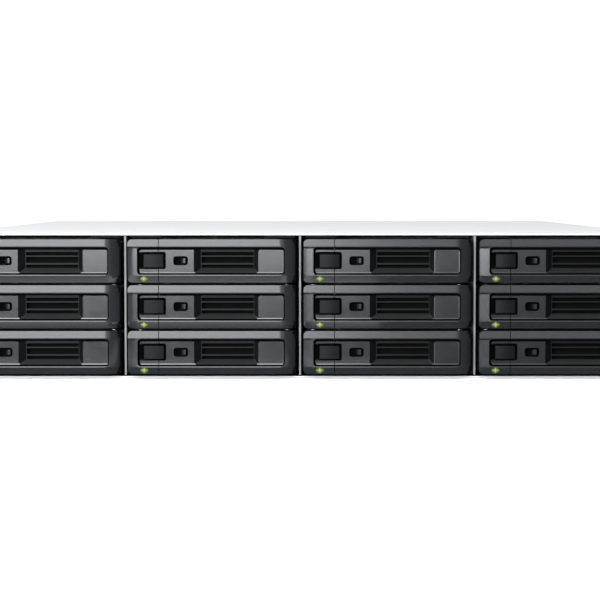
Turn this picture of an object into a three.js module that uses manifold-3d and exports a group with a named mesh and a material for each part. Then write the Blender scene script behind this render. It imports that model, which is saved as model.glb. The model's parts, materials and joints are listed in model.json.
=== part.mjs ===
// A 2U rack-mount network attached storage unit with twelve hot-swap drive trays.
// Millimetres, +Z up. The drive bays face -Y and +X is to the right of someone facing them.
// The origin is the centre of the underside of the bounding box.
import * as THREE from 'three';
import { mergeVertices } from 'three/addons/utils/BufferGeometryUtils.js';
import Module from 'manifold-3d';

const wasm = await Module();
wasm.setup();

// ---------------------------------------------------------------- driving dimensions
const HEIGHT = 88;              // two rack units, less the fitting clearance
const EAR_SPAN = 482;           // over the rack ears
const BODY_W = 430.5;           // over the cover's side skirts
const DEPTH = 552;              // ear bezel to power supply handle
const SHEET = 1.2;              // steel sheet of the chassis
const GAP = 0.3;                // clearance between pieces that touch

const COLUMNS = 4;
const ROWS = 3;
const COLUMN_PITCH = 106.4;
const ROW_PITCH = 27.75;
const ROW_Z = 2.7;              // underside of the lowest tray face
const FACE_Y = -273;            // front plane of the tray faces
const FACE_W = 102;
const FACE_H = 26.5;
const FACE_DEPTH = 8;           // thickness of the tray bezel and the handle

const DIVIDER_Y = [-263, -103];
const LEDGE_Y = [-255, -103];
const LEDGE_REACH = 3.6;        // from the plane between two bays to the ledge's edge
const COVER_Y = [-265, 262];
const BASE_Y = [-265, 260.5];
const COVER_SHEET = 1.4;
const SKIRT_Z = 60;
const SKIRT_SHEET = 0.95;
const WALL_X = [212.9, 214];
const BACKPLANE_Y = [-100, -97.6];
const FAN_Y = [-92, -60];
const FAN_SIZE = 80;
const FAN_X = [-142, 0, 142];
const BOARD_Z = [6.3, 7.9];
const REAR_Y = [259.3, 260.5];

const HALF_FACE = FACE_W / 2;
const COVER_Z = HEIGHT - COVER_SHEET;
const WALL_TOP = COVER_Z - GAP;

// tray-local places: x from the face centre, y inwards from the face plane, z from its underside
const SPLIT_X = -32.3;          // parting line between the fixed bezel and the handle
const RECESS = { x: [-45.6, 43.4], z: [4.9, 21.7], y: 2 };
const CAVITY = { x: [-11.6, 28.1], z: [5.2, 21.5], y: 6 };
const SLOT_X = [-6.8, 24.8];
const SLOT_Z = [[8.9, 11.15], [12.05, 15.65], [16.55, 19.7]];
const LOCK = { x: [-23.8, -15], z: [10.4, 16], y: 4 };
const BUTTON_POCKET = { x: [-45.2, -28.3], z: [8.1, 18.4], y: 5.2 };
const BUTTON = { x: [-41.6, -29.4], z: [9.2, 17.1], y: [0.6, 3.4] };
const STEM = { x: [-39.9, -34.1], z: [11.1, 15.2], y: 8.5 };
const STEM_HOLE_Y = 10.6;
const PLATE_Y = [9.5, 15];      // block behind the face, carrying the handle and the sled
const PLATE_RIGHT = 40;
const HINGE = { x: 46.5, y: 8.5 };
const PIN_R = 1.2;
const PIN_HOLE_R = 1.5;
const LUG_R = 2.8;
const LUG_Z = [[0.8, 3.2], [23.3, 25.7]];
const SLED = { x: 51.8, y: [15, 171], z: [0.6, 16] };
const DRIVE = { x: 50.8, y: [17, 164], z: [1.8, 26.1] };

// ---------------------------------------------------------------- materials
function material(color, roughness, metalness) {
  return new THREE.MeshStandardMaterial({ color, roughness, metalness });
}

const paint = material(0xe9eaeb, 0.42, 0.1);
const steel = material(0xb4b8ba, 0.4, 0.9);
const darkPlastic = material(0x2b2d2f, 0.42, 0);
const blackPlastic = material(0x1a1b1c, 0.45, 0);
const drivePlate = material(0x8d9194, 0.45, 0.8);
const board = material(0x1f4a33, 0.55, 0);
const heatsink = material(0xa9adb0, 0.35, 0.9);

// ---------------------------------------------------------------- geometry helpers
function box([x0, x1], [y0, y1], [z0, z1]) {
  const geometry = new THREE.BoxGeometry(x1 - x0, y1 - y0, z1 - z0);
  return geometry.translate((x0 + x1) / 2, (y0 + y1) / 2, (z0 + z1) / 2);
}

function outline(points) {
  return new THREE.Shape(points.map(([a, b]) => new THREE.Vector2(a, b)));
}

function rectangle([a0, a1], [b0, b1]) {
  return outline([[a0, b0], [a1, b0], [a1, b1], [a0, b1]]);
}

function circle(a, b, radius, sides) {
  const points = [];
  for (let i = 0; i < sides; i += 1) {
    const angle = (2 * Math.PI * (i + 0.5)) / sides;
    points.push([a + radius * Math.cos(angle), b + radius * Math.sin(angle)]);
  }
  return outline(points);
}

// A prism with its outline in X and Y, standing from z0 to z1.
function upright(shape, [z0, z1], curveSegments = 4) {
  const geometry = new THREE.ExtrudeGeometry(shape, { depth: z1 - z0, bevelEnabled: false, curveSegments });
  return geometry.translate(0, 0, z0);
}

// A prism with its outline in X and Z, lying from y0 to y1.
function lying(shape, [y0, y1], curveSegments = 4) {
  const geometry = new THREE.ExtrudeGeometry(shape, { depth: y1 - y0, bevelEnabled: false, curveSegments });
  return geometry.rotateX(Math.PI / 2).translate(0, y1, 0);
}

function toSolid(geometry) {
  const bare = geometry.clone();
  bare.deleteAttribute('normal');
  bare.deleteAttribute('uv');
  const merged = mergeVertices(bare, 1e-4);
  const vertProperties = new Float32Array(merged.attributes.position.array);
  const triVerts = new Uint32Array(merged.index.array);
  return new wasm.Manifold(new wasm.Mesh({ numProp: 3, vertProperties, triVerts }));
}

function toGeometry(solid) {
  const { vertProperties, triVerts } = solid.getMesh();
  const geometry = new THREE.BufferGeometry();
  geometry.setAttribute('position', new THREE.BufferAttribute(vertProperties, 3));
  geometry.setIndex(new THREE.BufferAttribute(triVerts, 1));
  return geometry;
}

function join(added, removed = []) {
  let solid = toSolid(added[0]);
  for (const geometry of added.slice(1)) {
    solid = solid.add(toSolid(geometry));
  }
  for (const geometry of removed) {
    solid = solid.subtract(toSolid(geometry));
  }
  return toGeometry(solid);
}

function part(name, geometry, look) {
  const mesh = new THREE.Mesh(geometry, look);
  mesh.name = name;
  return mesh;
}

function bounds(centre, size) {
  return [centre - size / 2, centre + size / 2];
}

// ---------------------------------------------------------------- drive tray
function hingeHoles() {
  return LUG_Z.map(([z0, z1]) => upright(circle(HINGE.x, HINGE.y, PIN_HOLE_R, 8), [z0 - 1, z1 + 1]));
}

function lugs() {
  const strip = [HINGE.x - LUG_R, HINGE.x + LUG_R - 0.4];
  return LUG_Z.flatMap((z) => [
    upright(circle(HINGE.x, HINGE.y, LUG_R, 12), z),
    box(strip, [HINGE.y, SLED.y[0] + 1], z),
  ]);
}

function trayGeometry() {
  const bezelX = [-HALF_FACE, SPLIT_X - GAP / 2];
  const floorZ = [SLED.z[0], DRIVE.z[0] + 0.1];
  const added = [
    box(bezelX, [0, PLATE_Y[0] + 1], [0, FACE_H]),
    box([-HALF_FACE, PLATE_RIGHT], PLATE_Y, [0.4, FACE_H - 0.4]),
    box([-SLED.x, SLED.x], [SLED.y[0] - 0.1, DRIVE.y[0] + 1], [SLED.z[0], DRIVE.z[1]]),
    box([-SLED.x, SLED.x], SLED.y, floorZ),
    box([-SLED.x, 1 - SLED.x], SLED.y, SLED.z),
    box([SLED.x - 1, SLED.x], SLED.y, SLED.z),
    box([-DRIVE.x, DRIVE.x], DRIVE.y, DRIVE.z),
    ...lugs(),
  ];
  const removed = [
    box([RECESS.x[0], 0], [-1, RECESS.y], RECESS.z),
    box([BUTTON_POCKET.x[0], 0], [-1, BUTTON_POCKET.y], BUTTON_POCKET.z),
    box([STEM.x[0] - 0.4, STEM.x[1] + 0.4], [0, STEM_HOLE_Y], [STEM.z[0] - 0.4, STEM.z[1] + 0.4]),
    ...hingeHoles(),
  ];
  return join(added, removed);
}

// The handle's plan: a flat face whose right end bends back towards the hinge.
function handlePlan() {
  const left = SPLIT_X + GAP / 2;
  return outline([
    [left, 0], [39.6, 0], [43.5, 1.2], [47.5, 3.2], [HALF_FACE, 5.2], [HALF_FACE, 6.8],
    [48.6, 5.6], [45.5, 4.6], [42.4, 4.6], [41.5, FACE_DEPTH], [left, FACE_DEPTH],
  ]);
}

function heelPlan() {
  const shape = new THREE.Shape();
  shape.moveTo(41, 3);
  shape.lineTo(46.5, 3.4);
  shape.lineTo(50.2, 5.4);
  shape.lineTo(50.2, 7);
  shape.absarc(HINGE.x, HINGE.y, 3.3, -0.35, Math.PI, false);
  shape.lineTo(41, FACE_DEPTH - 0.1);
  return shape;
}

function handleGeometry() {
  const heelZ = [LUG_Z[0][1] + GAP, LUG_Z[1][0] - GAP];
  const pinZ = [LUG_Z[0][0] + GAP, LUG_Z[1][1] - GAP];
  const added = [
    upright(handlePlan(), [0, FACE_H]),
    upright(heelPlan(), heelZ, 3),
    upright(circle(HINGE.x, HINGE.y, PIN_R, 8), pinZ),
  ];
  const slots = SLOT_Z.map((z) => box(SLOT_X, [CAVITY.y - 1, FACE_DEPTH + 1], z));
  const removed = [
    box([-HALF_FACE, RECESS.x[1]], [-1, RECESS.y], RECESS.z),
    box(CAVITY.x, [-1, CAVITY.y], CAVITY.z),
    box(LOCK.x, [-1, LOCK.y], LOCK.z),
    box([-HALF_FACE, BUTTON_POCKET.x[1]], [-1, FACE_DEPTH + 1], BUTTON_POCKET.z),
    ...slots,
  ];
  return join(added, removed);
}

function buttonGeometry() {
  const stem = box(STEM.x, [BUTTON.y[1] - 0.1, STEM.y], STEM.z);
  return join([box(BUTTON.x, BUTTON.y, BUTTON.z), stem]);
}

function trays() {
  const group = new THREE.Group();
  const shapes = { tray: trayGeometry(), handle: handleGeometry(), button: buttonGeometry() };
  for (let row = 0; row < ROWS; row += 1) {
    for (let column = 0; column < COLUMNS; column += 1) {
      const bay = new THREE.Group();
      const label = row * COLUMNS + column + 1;
      const x = (column - (COLUMNS - 1) / 2) * COLUMN_PITCH;
      bay.position.set(x, FACE_Y, ROW_Z + (ROWS - 1 - row) * ROW_PITCH);
      bay.add(part(`drive_tray_${label}`, shapes.tray, drivePlate));
      bay.add(part(`tray_handle_${label}`, shapes.handle, darkPlastic));
      bay.add(part(`release_button_${label}`, shapes.button, blackPlastic));
      group.add(bay);
    }
  }
  return group;
}

// ---------------------------------------------------------------- chassis
// Ledges stand between the rows, clear of the sled above and the drive below.
function ledgeHeights() {
  const heights = [[SHEET + GAP, ROW_Z + GAP]];
  for (let row = 1; row < ROWS; row += 1) {
    const below = ROW_Z + (row - 1) * ROW_PITCH + DRIVE.z[1] + GAP;
    const above = ROW_Z + row * ROW_PITCH + SLED.z[0] - GAP;
    heights.push([below, above]);
  }
  return heights;
}

function standoffs() {
  const posts = [];
  for (const x of [-190, -50, 90]) {
    for (const y of [-25, 105, 240]) {
      posts.push(upright(circle(x, y, 3, 6), [SHEET - 0.1, BOARD_Z[0] - GAP]));
    }
  }
  return posts;
}

function chassisBase() {
  const sides = [-1, 1];
  const walls = sides.map((side) => {
    const x = [side * WALL_X[0], side * WALL_X[1]].sort((a, b) => a - b);
    return box(x, BASE_Y, [0, WALL_TOP]);
  });
  const inner = 2 * COLUMN_PITCH - LEDGE_REACH;
  const ledges = sides.flatMap((side) => ledgeHeights().map((z) => {
    const x = [side * inner, side * (WALL_X[0] + 0.1)].sort((a, b) => a - b);
    return box(x, LEDGE_Y, z);
  }));
  const floor = box([-WALL_X[1], WALL_X[1]], BASE_Y, [0, SHEET]);
  return join([floor, ...walls, ...ledges, ...standoffs()]);
}

function topCover() {
  const half = BODY_W / 2;
  const plate = box([-half, half], COVER_Y, [COVER_Z, HEIGHT]);
  const left = box([-half, SKIRT_SHEET - half], COVER_Y, [SKIRT_Z, COVER_Z + 0.1]);
  const right = box([half - SKIRT_SHEET, half], COVER_Y, [SKIRT_Z, COVER_Z + 0.1]);
  const rearLip = box([-half, half], [REAR_Y[1] + GAP, COVER_Y[1]], [COVER_Z - 5, COVER_Z + 0.1]);
  return join([plate, left, right, rearLip]);
}

function bayDivider() {
  const plate = box(bounds(0, SHEET), DIVIDER_Y, [SHEET + GAP, WALL_TOP]);
  const ledges = ledgeHeights().map((z) => box([-LEDGE_REACH, LEDGE_REACH], LEDGE_Y, z));
  return join([plate, ...ledges]);
}

// ---------------------------------------------------------------- rear ports and power supply
const PSU = { x: [118, 204], y: [62, 263.5], z: [1.8, 42] };
const INLET = { x: [124, 152], y: [246, 265.2], z: [8, 31.5] };
const PORTS_Y = [240, 261.2];
const PORTS_Z = [8.2, 21.8];
const LAN = { x: [-60, 8], opening: { width: 12.2, height: 9.4, depth: 14 }, grid: [4, 1] };
const USB = { x: [-77.3, -60.3], opening: { width: 12.6, height: 5, depth: 12 }, grid: [1, 2] };

function grown([low, high], amount) {
  return [low - amount, high + amount];
}

function rearPanel() {
  const plate = box([-WALL_X[0] + GAP, WALL_X[0] - GAP], REAR_Y, [SHEET + GAP, WALL_TOP]);
  const through = grown(REAR_Y, 1);
  const cuts = [
    box(grown(PSU.x, GAP), through, [0, PSU.z[1] + GAP]),
    box(grown([USB.x[0], LAN.x[1]], GAP), through, grown(PORTS_Z, GAP)),
  ];
  return join([plate], cuts);
}

function psuCase() {
  const handleX = [[160, 163], [196, 199]];
  const reach = [PSU.y[1] - 1, DEPTH / 2];
  const added = [
    box(PSU.x, PSU.y, PSU.z),
    ...handleX.map((x) => box(x, reach, [20, 23])),
    box([handleX[0][0], handleX[1][1]], [DEPTH / 2 - 3, DEPTH / 2], [20, 23]),
  ];
  const pocket = box(grown(INLET.x, GAP), [INLET.y[0] - GAP, PSU.y[1] + 1], grown(INLET.z, GAP));
  return join(added, [pocket]);
}

function powerInlet() {
  const middleX = (INLET.x[0] + INLET.x[1]) / 2;
  const middleZ = (INLET.z[0] + INLET.z[1]) / 2;
  const cavityY = [INLET.y[1] - 15, INLET.y[1] + 1];
  const cavity = box(bounds(middleX, 24), cavityY, bounds(middleZ, 16.5));
  const pins = [[-7, -1.5], [0, 2.5], [7, -1.5]].map(([dx, dz]) => (
    box(bounds(middleX + dx, 2), [cavityY[0] - 1, cavityY[1] - 4], bounds(middleZ + dz, 4))
  ));
  const shell = toSolid(box(INLET.x, INLET.y, INLET.z)).subtract(toSolid(cavity));
  return toGeometry(pins.reduce((solid, pin) => solid.add(toSolid(pin)), shell));
}

function portBlock({ x, opening, grid: [columns, rows] }) {
  const pitchX = (x[1] - x[0]) / columns;
  const pitchZ = (PORTS_Z[1] - PORTS_Z[0]) / rows;
  const cutY = [PORTS_Y[1] - opening.depth, PORTS_Y[1] + 1];
  const cuts = [];
  for (let column = 0; column < columns; column += 1) {
    for (let row = 0; row < rows; row += 1) {
      const cutX = bounds(x[0] + (column + 0.5) * pitchX, opening.width);
      const cutZ = bounds(PORTS_Z[0] + (row + 0.5) * pitchZ, opening.height);
      cuts.push(box(cutX, cutY, cutZ));
    }
  }
  return join([box(x, PORTS_Y, PORTS_Z)], cuts);
}

// ---------------------------------------------------------------- electronics
function backplane() {
  const height = [6, 82];
  const added = [box([-211, 211], BACKPLANE_Y, height)];
  const removed = [];
  for (let column = 0; column < COLUMNS; column += 1) {
    const x = (column - (COLUMNS - 1) / 2) * COLUMN_PITCH;
    for (let row = 0; row < ROWS; row += 1) {
      const z = ROW_Z + row * ROW_PITCH;
      added.push(box(bounds(x - 18, 40), [-108.6, BACKPLANE_Y[0] + 0.1], [z + 4.6, z + 9.6]));
      removed.push(box(bounds(x, 50), grown(BACKPLANE_Y, 1), [z + 13, z + 22]));
    }
  }
  return join(added, removed);
}

function mainBoard() {
  const top = BOARD_Z[1] - 0.1;
  return join([
    box([-205, 108], [-40, 258], BOARD_Z),
    box([30, 36], [-20, 113], [top, 38]),
    box([42, 48], [-20, 113], [top, 38]),
    box([-120, -95], [-30, 60], [top, 20]),
    box([-170, -140], [150, 180], [top, 11]),
  ]);
}

// A comb of fins on a base plate, with its outline in X and Z.
function cpuHeatsink() {
  const [left, right] = [-70, 14];
  const [base, baseTop, finTop] = [BOARD_Z[1] + GAP, 14, 62];
  const fins = 9;
  const pitch = (right - left - 2) / (fins - 1);
  const points = [[left, base], [right, base]];
  for (let i = fins - 1; i >= 0; i -= 1) {
    const x = left + i * pitch;
    points.push([x + 2, finTop], [x, finTop]);
    if (i > 0) {
      points.push([x, baseTop], [x - pitch + 2, baseTop]);
    }
  }
  return lying(outline(points), [15, 105]);
}

// ---------------------------------------------------------------- fans
const FAN_Z = 43.2;
const FAN_BORE = 38;
const HUB_R = 17;
const HUB_Y = [-88, -66];
const STATOR_Y = [-65.5, -62.5];
const SHAFT_R = 1.6;

function fanFrame() {
  const square = rectangle(bounds(0, FAN_SIZE), bounds(FAN_Z, FAN_SIZE));
  square.holes.push(new THREE.Path(circle(0, FAN_Z, FAN_BORE, 24).getPoints()));
  const strutZ = bounds(FAN_Z, 3);
  const added = [
    lying(square, FAN_Y),
    lying(circle(0, FAN_Z, HUB_R, 16), STATOR_Y),
    box(bounds(0, 2 * FAN_BORE + 2), STATOR_Y, strutZ),
    box(bounds(0, 3), STATOR_Y, bounds(FAN_Z, 2 * FAN_BORE + 2)),
  ];
  const hole = lying(circle(0, FAN_Z, SHAFT_R + GAP, 8), grown(STATOR_Y, 1));
  return join(added, [hole]);
}

function fanRotor() {
  const blades = [];
  const count = 7;
  for (let i = 0; i < count; i += 1) {
    const blade = new THREE.BoxGeometry(22, 1.6, 18);
    blade.rotateX(0.7);
    blade.translate(HUB_R + 8.5, (HUB_Y[0] + HUB_Y[1]) / 2, 0);
    blade.rotateY((2 * Math.PI * i) / count);
    blade.translate(0, 0, FAN_Z);
    blades.push(blade);
  }
  const hub = lying(circle(0, FAN_Z, HUB_R, 16), HUB_Y);
  const shaft = lying(circle(0, FAN_Z, SHAFT_R, 8), [HUB_Y[1] - 1, STATOR_Y[1]]);
  return join([hub, shaft, ...blades]);
}

// ---------------------------------------------------------------- rack ears
const EAR = { plateY: [-262, -260], returnX: [215.55, 217.05], returnEnd: -200, z: [0.4, 87.6] };
const EAR_HOLE_Z = [5.9, 82.1];
const EAR_HOLE_X = 232.6;
const BEZEL_INNER = 212.2;
const POWER = { x: -226.5, z: 58, radius: 5, y: [-275.9, -270], travel: 1.2 };

function mirrorX([low, high], side) {
  return side > 0 ? [low, high] : [-high, -low];
}

function earHoles(side, y) {
  return EAR_HOLE_Z.map((z) => box(bounds(side * EAR_HOLE_X, 10), y, bounds(z, 6.6)));
}

function ear(side) {
  const plate = box(mirrorX([EAR.returnX[0], EAR_SPAN / 2], side), EAR.plateY, EAR.z);
  const flange = box(mirrorX(EAR.returnX, side), [EAR.plateY[0], EAR.returnEnd], EAR.z);
  return join([plate, flange], earHoles(side, grown(EAR.plateY, 1)));
}

function earBezel(side) {
  const front = -DEPTH / 2;
  const added = [
    box(mirrorX([BEZEL_INNER, EAR_SPAN / 2], side), [front, COVER_Y[0] - GAP], EAR.z),
    box(mirrorX([EAR.returnX[0], EAR_SPAN / 2], side), [front + 1, EAR.plateY[0] - GAP], EAR.z),
  ];
  const removed = earHoles(side, [front - 1, EAR.plateY[0] + 1]);
  if (side < 0) {
    const wellY = [front - 1, POWER.y[1] + POWER.travel + 0.4];
    removed.push(lying(circle(POWER.x, POWER.z, POWER.radius + 0.4, 16), wellY));
  }
  return join(added, removed);
}

function powerButton() {
  return lying(circle(POWER.x, POWER.z, POWER.radius, 16), POWER.y);
}

// ---------------------------------------------------------------- assembly
const unit = new THREE.Group();
unit.add(part('chassis_base', chassisBase(), paint));
unit.add(part('top_cover', topCover(), paint));
unit.add(part('rear_panel', rearPanel(), steel));

const dividerShape = bayDivider();
for (let i = 1; i < COLUMNS; i += 1) {
  const divider = part(`bay_divider_${i}`, dividerShape, steel);
  divider.position.x = (i - COLUMNS / 2) * COLUMN_PITCH;
  unit.add(divider);
}

unit.add(trays());
unit.add(part('backplane', backplane(), board));
unit.add(part('main_board', mainBoard(), board));
unit.add(part('cpu_heatsink', cpuHeatsink(), heatsink));
unit.add(part('power_supply', psuCase(), steel));
unit.add(part('power_inlet', powerInlet(), blackPlastic));
unit.add(part('lan_ports', portBlock(LAN), steel));
unit.add(part('usb_ports', portBlock(USB), steel));

const frameShape = fanFrame();
const rotorShape = fanRotor();
FAN_X.forEach((x, index) => {
  const fan = new THREE.Group();
  fan.position.x = x;
  fan.add(part(`fan_frame_${index + 1}`, frameShape, blackPlastic));
  fan.add(part(`fan_rotor_${index + 1}`, rotorShape, darkPlastic));
  unit.add(fan);
});

unit.add(part('rack_ear_left', ear(-1), steel));
unit.add(part('rack_ear_right', ear(1), steel));
unit.add(part('ear_bezel_left', earBezel(-1), darkPlastic));
unit.add(part('ear_bezel_right', earBezel(1), darkPlastic));
unit.add(part('power_button', powerButton(), blackPlastic));

export default unit;
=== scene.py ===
# Looks for the rack-mount network attached storage unit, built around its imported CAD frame.
import json
import math

import bmesh
import bpy
from mathutils import Matrix, Vector

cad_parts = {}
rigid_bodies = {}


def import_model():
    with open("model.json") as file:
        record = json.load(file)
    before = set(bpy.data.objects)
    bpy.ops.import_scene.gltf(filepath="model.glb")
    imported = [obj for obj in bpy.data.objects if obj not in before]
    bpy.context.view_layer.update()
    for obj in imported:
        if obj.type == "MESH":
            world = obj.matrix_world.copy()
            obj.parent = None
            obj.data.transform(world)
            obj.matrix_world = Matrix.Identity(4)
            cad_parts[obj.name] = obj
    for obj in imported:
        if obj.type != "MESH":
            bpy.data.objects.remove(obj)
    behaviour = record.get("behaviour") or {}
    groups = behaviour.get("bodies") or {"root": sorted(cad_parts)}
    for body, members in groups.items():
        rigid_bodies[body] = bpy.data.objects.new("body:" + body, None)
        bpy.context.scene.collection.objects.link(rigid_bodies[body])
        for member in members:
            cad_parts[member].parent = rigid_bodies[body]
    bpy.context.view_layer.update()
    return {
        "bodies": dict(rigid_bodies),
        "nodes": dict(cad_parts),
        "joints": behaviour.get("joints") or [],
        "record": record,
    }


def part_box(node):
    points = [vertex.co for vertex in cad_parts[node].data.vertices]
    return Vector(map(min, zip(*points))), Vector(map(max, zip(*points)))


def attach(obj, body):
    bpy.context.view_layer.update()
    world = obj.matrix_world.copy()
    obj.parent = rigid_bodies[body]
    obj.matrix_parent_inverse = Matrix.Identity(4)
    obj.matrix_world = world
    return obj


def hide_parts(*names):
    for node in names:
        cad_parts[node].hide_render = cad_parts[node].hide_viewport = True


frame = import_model()
scene = bpy.context.scene

# ------------------------------------------------------------------ driving values, in millimetres
MM = 0.001
TRAYS = 12
FLOOR_SHEET = 0.9
LID_SHEET = 1.25

# Tray-local places: x from the face centre, y inwards from the face, z from its underside.
HALF_W = 51.0
FACE_H = 26.15
FACE_DEPTH = 8.0
FACE_CORNERS = (2.4, 1.2, 1.2, 2.6)
SPLIT_X = -32.3
SPLIT_GAP = 0.22
LEFT_RAIL_X = -44.9
TOP_RAIL_Z = 21.9
RAIL_BLEND = 1.3
BOTTOM_RAIL_Z = 4.3
BEND_X = 40.6
BEND_SQUARE = 0.036
BEND_CUBE = 0.0011
RECESS = ((-45.1, 44.0), (4.75, 21.4))
RECESS_R = 2.1
RIM = 0.55
RIM_DROP = 0.2
PANEL = ((-43.8, 43.3), (5.75, 19.8))
PANEL_Y = 2.0
GROOVE_Y = 6.6
# Forward-facing faces deeper than this get painted shade.
PAINTED_SHADE_Y = 4.0
LIP_H = 0.65
LIP_RISE = 0.135
CAVITY_FRONT = ((-11.0, 28.5), (5.2, 21.2))
CAVITY_BACK = ((-6.9, 25.4), (8.6, 20.1))
CAVITY_Y = 6.0
SLOTS_X = (-6.5, 25.1)
SLOTS_Z = ((8.75, 10.75), (11.8, 15.45), (16.3, 18.4))
LOCK = ((-23.4, -14.6), (10.5, 16.0))
SLIDER = ((-18.9, -16.1), (11.6, 14.7))
POCKET = ((-44.2, -27.9), (8.2, 18.6))
POCKET_FLOOR_X = -41.2
BUTTON = ((-41.4, -29.2), (9.1, 17.2))
STEM = ((-39.9, -34.1), (11.1, 15.2))
LAMP = (-41.2, 2.35)
HINGE = (46.5, 8.5)
PIN_R = 1.2
LUG_Z = ((0.8, 3.2), (23.3, 25.7))
PLATE_Y = (9.5, 11.3)
SLED_Y = (15.0, 171.0)
DRIVE = ((-50.6, 50.6), (17.3, 164.0), (2.1, 26.0))

# Case places, in the unit's own frame.
GUIDE_Y = (-250, -103)
LID_SCREWS = [(x, y) for x in (-198, 0, 198) for y in (138, 162, 250)]
SUPPLY_FAN = (179.5, 21.5)
SUPPLY_STEP = 12.5
LAN_LAMP_X = 5.4
MODULES_X = (30, 42)
BOARD_TOP = 1.55
EAR_SLOT_X = 232.6
EAR_SLOT_Z = (5.9, 82.1)

# The range that a noise texture's value mostly stays in.
NOISE_LOW = 0.3
NOISE_HIGH = 0.7

# Light: radiances are for a white surface at 1, and places are in metres.
ROOM = 0.1
BACK_ROOM = 1.05
KEY_RADIANCE = 13.0
SIDE_RADIANCE = 18.0
HIGH_RADIANCE = 8.6
EDGE_RADIANCE = 1.2
FILL_RADIANCE = 1.5
BOUNCE_RADIANCE = 2.3
LIGHT_TINT = (0.95, 0.98, 1.0)
LIGHT_Y = -1.6
SUN_STRENGTH = 1.55
BOUNCE_Z = 0.004
BACKDROP = 1.05
FLOOR_GLOW = 0.28
FLOOR_SIZE = 30

# Camera: its lens in millimetres, its place in metres and how far it looks down in degrees.
CAMERA_LENS = 110.74
CAMERA_PLACE = (0.0, -1.3858, 0.1111)
CAMERA_PITCH = 3.2563


# ------------------------------------------------------------------ mesh helpers
def rounded(x, z, radius, steps=8):
    """A rectangle with round corners as a list of points, anticlockwise from the lower left corner.
    radius is one number, or one for each of lower left, lower right, upper right and upper left."""
    radii = radius if isinstance(radius, tuple) else (radius,) * 4
    corners = (
        (x[0], z[0], 1, 1, math.pi),
        (x[1], z[0], -1, 1, 1.5 * math.pi),
        (x[1], z[1], -1, -1, 0),
        (x[0], z[1], 1, -1, 0.5 * math.pi),
    )
    points = []
    for (cx, cz, sx, sz, start), r in zip(corners, radii):
        for i in range(steps + 1):
            angle = start + 0.5 * math.pi * i / steps
            points.append((cx + sx * r + r * math.cos(angle), cz + sz * r + r * math.sin(angle)))
    return points


def ellipse(cx, cz, rx, rz, sides=36):
    angles = [2 * math.pi * (i + 0.5) / sides for i in range(sides)]
    return [(cx + rx * math.cos(a), cz + rz * math.sin(a)) for a in angles]


def rectangle(x, z):
    return [(x[0], z[0]), (x[1], z[0]), (x[1], z[1]), (x[0], z[1])]


def inset(span, amount):
    return (span[0] + amount, span[1] - amount)


def about(centre, size):
    return (centre - size / 2, centre + size / 2)


def middle(span):
    return (span[0] + span[1]) / 2


def add_object(name, data):
    obj = bpy.data.objects.new(name, data)
    scene.collection.objects.link(obj)
    return obj


def to_object(bm, name="tool"):
    bmesh.ops.remove_doubles(bm, verts=bm.verts, dist=1e-5)
    bmesh.ops.recalc_face_normals(bm, faces=bm.faces)
    mesh = bpy.data.meshes.new(name)
    bm.to_mesh(mesh)
    bm.free()
    return add_object(name, mesh)


def loft(loops):
    """A closed body through loops of (x, y, z) points, with a flat face at each end."""
    bm = bmesh.new()
    rings = [[bm.verts.new(p) for p in loop] for loop in loops]
    for a, b in zip(rings, rings[1:]):
        for i in range(len(a)):
            j = (i + 1) % len(a)
            bm.faces.new((a[i], a[j], b[j], b[i]))
    bm.faces.new(rings[0])
    bm.faces.new(rings[-1])
    return to_object(bm)


def along_y(outline, y):
    """A prism with its outline in X and Z."""
    return loft([[(x, level, z) for x, z in outline] for level in y])


def along_z(outline, z):
    """A prism with its outline in X and Y."""
    return loft([[(x, y, level) for x, y in outline] for level in z])


def along_x(outline, x):
    """A prism with its outline in Y and Z."""
    return loft([[(level, y, z) for y, z in outline] for level in x])


def block(x, y, z):
    return along_y(rectangle(x, z), y)


def pin(cx, cz, radius, sides, y):
    """A round prism along Y."""
    return along_y(ellipse(cx, cz, radius, radius, sides), y)


def post(cx, cy, radius, sides, z):
    """A round prism along Z."""
    return along_z(ellipse(cx, cy, radius, radius, sides), z)


def turned(profile, sides, axis="z", centre=(0, 0)):
    """A round body along Z or Y through (radius, level) pairs."""
    loops = []
    for radius, level in profile:
        ring = ellipse(*centre, radius, radius, sides)
        loops.append([(u, v, level) if axis == "z" else (u, level, v) for u, v in ring])
    return loft(loops)


def apply(obj):
    """Makes the object's modifiers part of its mesh."""
    graph = bpy.context.evaluated_depsgraph_get()
    mesh = bpy.data.meshes.new_from_object(obj.evaluated_get(graph))
    old = obj.data
    obj.modifiers.clear()
    obj.data = mesh
    bpy.data.meshes.remove(old)
    return obj


def combine(base, tools, operation="DIFFERENCE"):
    for tool in tools:
        modifier = base.modifiers.new("combine", "BOOLEAN")
        modifier.operation = operation
        modifier.solver = "EXACT"
        modifier.object = tool
    apply(base)
    for tool in tools:
        bpy.data.objects.remove(tool)
    return base


def cut(base, *tools):
    return combine(base, tools)


def join(base, *tools):
    return combine(base, tools, "UNION")


def gather(parts):
    """Several separate bodies as one object."""
    bm = bmesh.new()
    for obj in parts:
        bm.from_mesh(obj.data)
        bpy.data.objects.remove(obj)
    return to_object(bm)


def repeat(obj, moves):
    """One object that holds the body once at every move, a place or a matrix."""
    bm = bmesh.new()
    for move in moves:
        matrix = move if isinstance(move, Matrix) else Matrix.Translation(move)
        start = len(bm.verts)
        bm.from_mesh(obj.data)
        bm.verts.ensure_lookup_table()
        bmesh.ops.transform(bm, matrix=matrix, verts=bm.verts[start:])
    bpy.data.objects.remove(obj)
    return to_object(bm)


def facing(place, direction):
    """The move that takes a body standing up along Z at the origin to a place, facing a direction."""
    turn = Vector((0, 0, 1)).rotation_difference(Vector(direction))
    return Matrix.Translation(place) @ turn.to_matrix().to_4x4()


def spans(node):
    """A CAD node's X, Y and Z spans at rest."""
    low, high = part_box(node)
    return [(low[i] / MM, high[i] / MM) for i in range(3)]


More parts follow.
